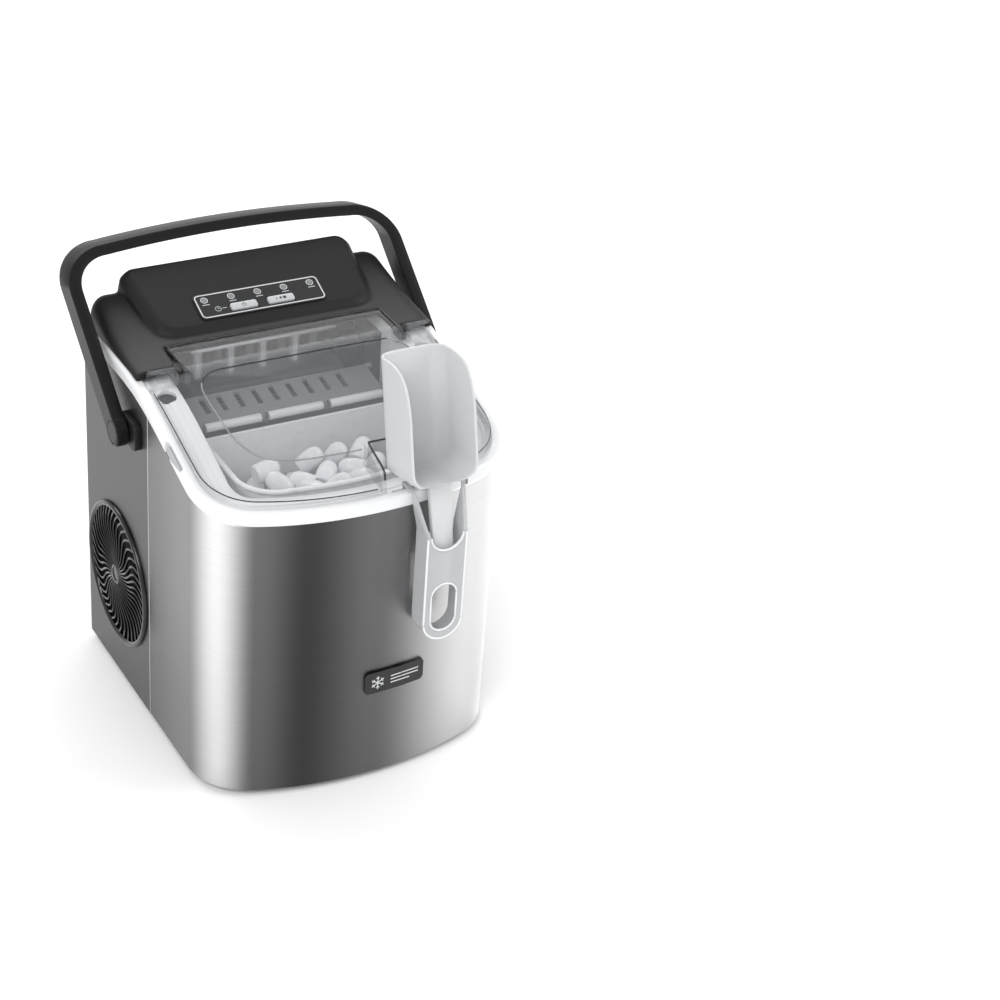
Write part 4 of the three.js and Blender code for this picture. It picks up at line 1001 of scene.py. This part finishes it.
# ------------------------------------------------------------------ fan
def fan_grille():
    x = -HALF - 0.3
    profile = [(x, 54), (x - 1.4, 54), (x - 2.3, 53.3), (x - 2.6, 52.2), (x - 2.4, 50.8), (x - 1.2, 49.6),
               (x, 49.5)]
    rings = [[(t, FAN_Y + c, FAN_Z + d) for c, d in circle(r, 96)] for t, r in profile]
    piece(make("fan_grille_ring", loop_mesh(rings)), "casing", M_GLOSS, ["fan_grille"], 50)
    hub = [(x, 7.6), (x - 2.2, 7.6), (x - 2.8, 6.8), (x - 2.8, 5.6), (x - 2.2, 5.0), (x - 2.2, 0)]
    obj = make("fan_grille_hub", lathe_mesh("x", (0, FAN_Y, FAN_Z), hub))
    piece(obj, "casing", M_GLOSS, sharp=40)
    spokes = []
    for i in range(SPOKES):
        base = 2 * math.pi * i / SPOKES
        path = []
        for k in range(SPOKE_SPANS + 1):
            t = k / SPOKE_SPANS
            r = 6.8 + 43.4 * t
            a = base + 0.10 * math.sin(t * 2.1 * math.pi + 0.6) * (0.35 + t) + 0.05 * math.sin(3 * base)
            dome = 2.2 - 1.4 * t * t
            path.append((x - dome, FAN_Y + r * math.cos(a), FAN_Z + r * math.sin(a)))
        rows = []
        for k, p in enumerate(path):
            q = path[min(k + 1, SPOKE_SPANS)]
            o = path[max(k - 1, 0)]
            dy, dz = q[1] - o[1], q[2] - o[2]
            n = math.hypot(dy, dz)
            w = 0.55 + 0.35 * k / SPOKE_SPANS
            ny, nz = -dz / n * w, dy / n * w
            rows.append([(p[0] - 0.5, p[1], p[2]), (p[0] - 0.1, p[1] + ny, p[2] + nz),
                         (p[0] + 1.4, p[1] + ny * 0.8, p[2] + nz * 0.8),
                         (p[0] + 1.4, p[1] - ny * 0.8, p[2] - nz * 0.8),
                         (p[0] - 0.1, p[1] - ny, p[2] - nz)])
        spokes.append(strip_mesh(rows))
    piece(make("fan_grille_spokes", joined_mesh(spokes)), "casing", M_GLOSS, sharp=50)


# ------------------------------------------------------------------ ice side
def fingers():
    plate = make("evaporator_fingers", prism_mesh("z", rounded_rect(-60, 52, 55, 84, 4), 258, 264))
    bevelled(plate, 0.6)
    bake_modifiers(plate)
    for y, xs in FINGER_ROWS:
        for x in xs:
            profile = [(235, 0), (235.1, 1.2), (235.7, 2.4), (236.9, 3.15), (238.4, 3.4), (255, 3.5),
                       (257, 4.4), (259, 4.6)]
            join(plate, lathe_mesh("z", (x, y, 0), profile, 24))
    piece(plate, "casing", M_CHROME, ["evaporator"], 40)


def basket_ring(grow, z):
    w, rear, front = 74 - grow, 7.5 - grow, -78 + grow
    r = max(30 - grow, 8)
    points = arc(-w + r, front + r, r, 180, 270, 16)
    for i in range(1, 12):
        u = -1 + i / 6
        points.append((u * (w - r), front - 4 * (1 - u * u)))
    points += arc(w - r, front + r, r, -90, 0, 16)
    points += arc(w - 5, rear - 5, 5, 0, 90, 5)
    points += arc(-w + 5, rear - 5, 5, 90, 180, 5)
    return [(p[0], p[1], z) for p in points]


def basket():
    outer = [(9, 128), (8, 128.4), (7, 130.5), (6, 133), (2, 217), (0.6, 217.6), (0, 218.4), (0, 219.4),
             (0.7, 220)]
    inner = [(11, 130), (9, 131), (7.8, 134), (3.6, 220.6)]
    obj = make("ice_basket_clear", stack_mesh([basket_ring(g, z) for g, z in outer]))
    cut(obj, stack_mesh([basket_ring(g, z) for g, z in inner]))
    cuts = [box_mesh(i * 14 - 2, i * 14 + 2, -56, -16, 126, 132) for i in range(-3, 4)]
    cut(obj, *cuts)
    for x, y in ((-50, -48), (50, -48), (-50, -14), (50, -14)):
        join(obj, lathe_mesh("z", (x, y, 0), [(111.4, 3.8), (112, 4.5), (129, 4.5)], 24))
    piece(obj, "basket", M_BASKET, ["ice_basket"], 32)
    bead("ice_basket_lip", "basket", basket_ring(1.6, 219.7), 0.55, M_WHITE, 6, True)


def bullet_ice():
    rng = random.Random(7)
    cubes = []
    profile = [(-11, 0.01), (-11, 7.4), (-10.2, 8.2), (-2, 8.6), (5, 8.1), (9, 6.4), (11.2, 3.6),
               (12, 0.01)]
    for layer, (z, reach) in enumerate(ICE_LAYERS):
        for i in range(-3, 4):
            for j in range(-2, 2):
                x = i * ICE_PITCH + rng.uniform(-3, 3) + (9 if layer % 2 else 0)
                y = -30 + (j + 0.5) * ICE_PITCH + rng.uniform(-2.5, 2.5)
                if abs(x) > 58 * reach + 6 or y < -63 or y > -6:
                    continue
                if abs(x) > 34 and y < -46:
                    continue
                if layer == 4 and (y > -18 or rng.random() < 0.15):
                    continue
                tip = Matrix.Rotation(rng.uniform(-1.5, 1.5), 4, "X")
                tip = tip @ Matrix.Rotation(rng.uniform(-1.5, 1.5), 4, "Y")
                spot = Matrix.Translation((x, y, z + rng.uniform(-2, 2))) @ tip @ Matrix.Scale(0.82, 4)
                cubes.append(placed(lathe_mesh("z", (0, 0, 0), profile, 14), spot))
    piece(make("bullet_ice", joined_mesh(cubes)), "basket", M_ICE, sharp=45)


# ------------------------------------------------------------------ scoop and holder
def scoop():
    half, depth, height, wall, corner = 24, 46, 84, 1.8, 15

    def plan(t):
        front = -depth - (5 if t else 0)
        return (arc(half - 12, -12, 12 - t, 0, 90, 10) + arc(-half + 12, -12, 12 - t, 90, 180, 10)
                + [(-half + t, front), (half - t, front)])

    def shaped(name, t):
        r = corner - t
        face = (arc(-half + corner, corner, r, 180, 270, 12) + arc(half - corner, corner, r, 270, 360, 12)
                + [(half - t, height + 12), (-half + t, height + 12)])
        body = make(name, prism_mesh("z", plan(t), t, height + t * 8))
        boolean(body, make("face", prism_mesh("y", face, -90, 20)), "INTERSECT")
        return body

    bottom = flat_curve([(-depth + 14, 0), (-depth + 6, 1.6), (-depth + 1.4, 6), (-depth, 13),
                         (-depth, height * 0.5), (-depth + 1, height * 0.7),
                         (-depth + 5, height * 0.85), (-depth + 12, height * 0.94),
                         (-depth + 22, height * 0.985), (-depth + 36, height)], 5)
    side = [(5, 0)] + [(p[0], p[1]) for p in bottom] + [(5, height)]
    obj = shaped("scoop_bowl", 0)
    boolean(obj, make("side", prism_mesh("x", side, -60, 60)), "INTERSECT")
    boolean(obj, shaped("inner", wall), "DIFFERENCE")
    x = HOLDER_X - SCOOP_AT[0]
    grip = [(x - 8.5, 1), (x - 7.5, -50), (x - 5, -54), (x + 5, -54), (x + 7.5, -50), (x + 8.5, 1)]
    join(obj, prism_mesh("y", grip, -22.8, -18.4))
    soften(obj, 0.6, 4)
    turn = Matrix.Translation(SCOOP_AT) @ Matrix.Rotation(math.radians(-12), 4, "X")
    shift = Matrix.Translation((0, SHIFT_Y / 1000, 0))
    scale = Matrix.Scale(0.001, 4)
    obj.data.transform(shift @ scale @ turn @ scale.inverted() @ shift.inverted())
    piece(obj, "scoop", M_SCOOP, ["scoop"], 180)


def scoop_holder():
    w, x, t = 15, HOLDER_X, 2.4
    face = arc(x, 133, w, 180, 360, 24) + [(x + w, 201), (x + w + 6, 231), (x - w - 6, 231), (x - w, 201)]
    block = make("scoop_holder_strap", prism_mesh("y", face, -160, -100))
    side = [(-139, 100), (-139, 201), (-123.5, 226.5), (-121, 229.6), (-108.9, 229.6), (-108.9, 220),
            (-111.2, 220), (-111.2, 227.3), (-122.6, 227.3), (-122.6, 100)]
    boolean(block, make("side", prism_mesh("x", side, -60, 120)), "INTERSECT")
    v = w - t
    hollow = arc(x, 133, v, 180, 360, 24) + [(x + v, 201), (x + v + 6, 240), (x - v - 6, 240), (x - v, 201)]
    cup = arc(x, 201, 12, 180, 360, 20) + [(x + 16, 240), (x - 16, 240)]
    hole = arc(x, 153, 9.5, 0, 180, 16) + arc(x, 135, 9.5, 180, 360, 16)
    cut(block, prism_mesh("y", hollow, -139 + t, -100), prism_mesh("y", cup, -160, -100),
        prism_mesh("y", hole, -160, -130))
    soften(block, 0.55, 4)
    piece(block, "holder", M_HOLDER, ["scoop_holder"], 180)
    # Painted highlights: white beads along the holder's window, cup and outer edges.
    rim = [(px, -138.9, pz) for px, pz in hole]
    bead("holder_window_highlight", "holder", rim, 0.7, M_WHITE, 6, True)
    lip = [(px, -138.9, pz) for px, pz in arc(x, 201, 12, 184, 356, 20)]
    bead("holder_cup_highlight", "holder", lip, 0.7, M_WHITE, 6)
    border = [(x - w + 0.8, 200)] + arc(x, 133, w - 0.8, 180, 360, 24) + [(x + w - 0.8, 200)]
    border = [(px, -138.7, pz) for px, pz in border]
    bead("holder_border_highlight", "holder", border, 0.8, M_WHITE, 6)


def chamber_walls():
    """Thin dark sheets round the evaporator, seen through the lid: painted shade for the shadowed chamber.
    """
    shade_sheets = joined_mesh([box_mesh(-84, 84, 92.9, 93.4, 206, 250), box_mesh(-84.7, -84.1, 51, 92, 206, 250),
                          box_mesh(84.1, 84.7, 51, 92, 206, 250)])
    piece(make("chamber_shade_sheet", shade_sheets), "casing", M_CHAMBER_SHADE)


def shovel_bars():
    for number, x in enumerate((-47.5, -1, 45.5), 1):
        profile = [(x - 21, 2.2), (x - 20.2, 3.03), (x + 20.2, 3.03), (x + 21, 2.2)]
        bar = make(f"shovel_bar_{number}", lathe_mesh("x", (0, 10.6, 225.4), profile, 24))
        piece(bar, "shovel", M_BAR, sharp=50)


# ------------------------------------------------------------------ build
front_wrap()
seam(-1)
seam(1)
top_frame()
rim_recess_plate()
for which in (-1, 1):
    hinge_cap(which)
    button(which)
screws()
badge()
top_cover()
overlay_print()
lid()
lid_lines()
handle()
fan_grille()
fingers()
basket()
bullet_ice()
scoop()
scoop_holder()
chamber_walls()
shovel_bars()

for mat, bevel, names in (
    (M_ZINC, 0, "base_pan fan_motor compressor_bracket"),
    (M_RUBBER, 0.5, "foot_front_left foot_front_right foot_rear_left foot_rear_right"),
    (M_SIDE, 0, "side_panel_left side_panel_right rear_panel"),
    (M_BLACK, 0.6, "pivot_boss_left pivot_boss_right"),
    (M_GLOSS, 0, "badge_plate"),
    (M_OVERLAY, 0, "control_overlay"),
    (M_GUIDE, 0, "indicator_light_guide"),
    (M_BOARD, 0, "control_board power_board"),
    (M_INNER, 0, "fan_shroud"),
    (M_INNER, 0.3, "fan_blades"),
    (M_FINS, 0, "condenser"),
    (M_COMPRESSOR, 0, "compressor"),
    (M_COPPER, 0, "filter_drier discharge_tube suction_tube"),
    (M_LINER_SHADED, 0, "tank_liner"),
    (M_INNER, 0.5, "water_pump tray_motor ice_full_sensor"),
    (M_HOSE, 0, "fill_tube"),
    (M_TRAY, 0, "water_tray"),
    (M_SHOVEL, 0, "ice_shovel"),
    (M_WHITE, 0, "drain_spout"),
    (M_RUBBER, 0.4, "drain_plug"),
    (M_INNER, 0.4, "power_inlet"),
):
    for node in names.split():
        dress(node, mat, bevel)


# ------------------------------------------------------------------ stage, light, camera
def stage():
    data = bpy.data.meshes.new("floor")
    s = 4
    data.from_pydata([(-s, -s, 0), (s, -s, 0), (s, s, 0), (-s, s, 0)], [], [(0, 1, 2, 3)])
    floor = bpy.data.objects.new("floor", data)
    bpy.context.scene.collection.objects.link(floor)
    data.materials.append(material("floor_pale", (0.90, 0.90, 0.90), 0.9, fine=4, spread=0.005))


def area(name, location, target, size, power):
    data = bpy.data.lights.new(name, "AREA")
    data.shape = "RECTANGLE"
    data.size, data.size_y = size
    data.energy = power
    obj = bpy.data.objects.new(name, data)
    bpy.context.scene.collection.objects.link(obj)
    obj.location = location
    obj.rotation_euler = (Vector(target) - Vector(location)).to_track_quat("-Z", "Y").to_euler()


def camera():
    """Long lens from the front left, a little above, rolled slightly."""
    azimuth, elevation, roll = map(math.radians, (-31.66, 30.98, 4.61))
    distance = 1.71125
    aim = Vector((0.16338, SHIFT_Y / 1000, 0.12048))
    back = Vector((math.sin(azimuth) * math.cos(elevation), -math.cos(azimuth) * math.cos(elevation),
                   math.sin(elevation)))
    right = Vector((math.cos(azimuth), math.sin(azimuth), 0))
    up = back.cross(right)
    x_axis = math.cos(roll) * right + math.sin(roll) * up
    y_axis = math.cos(roll) * up - math.sin(roll) * right
    data = bpy.data.cameras.new("camera")
    data.sensor_width = 36
    data.lens = 83.185
    data.clip_start, data.clip_end = 0.05, 50
    obj = bpy.data.objects.new("camera", data)
    bpy.context.scene.collection.objects.link(obj)
    turn = Matrix((x_axis, y_axis, back)).transposed().to_4x4()
    obj.matrix_world = Matrix.Translation(aim + back * distance) @ turn
    bpy.context.scene.camera = obj


stage()
area("key", (-1.3, -1.2, 1.7), (0, 0, 0.15), (1.4, 1.0), 26)
area("fill", (1.6, -0.8, 1.1), (0, 0, 0.15), (0.9, 1.4), 14)
area("back", (0.2, 1.6, 1.6), (0, 0, 0.2), (1.8, 0.8), 18)
camera()

world = bpy.data.worlds.new("studio")
world.use_nodes = True
world.node_tree.nodes["Background"].inputs["Color"].default_value = (1, 1, 1, 1)
world.node_tree.nodes["Background"].inputs["Strength"].default_value = 0.8
bpy.context.scene.world = world
bpy.context.scene.view_settings.view_transform = "Standard"
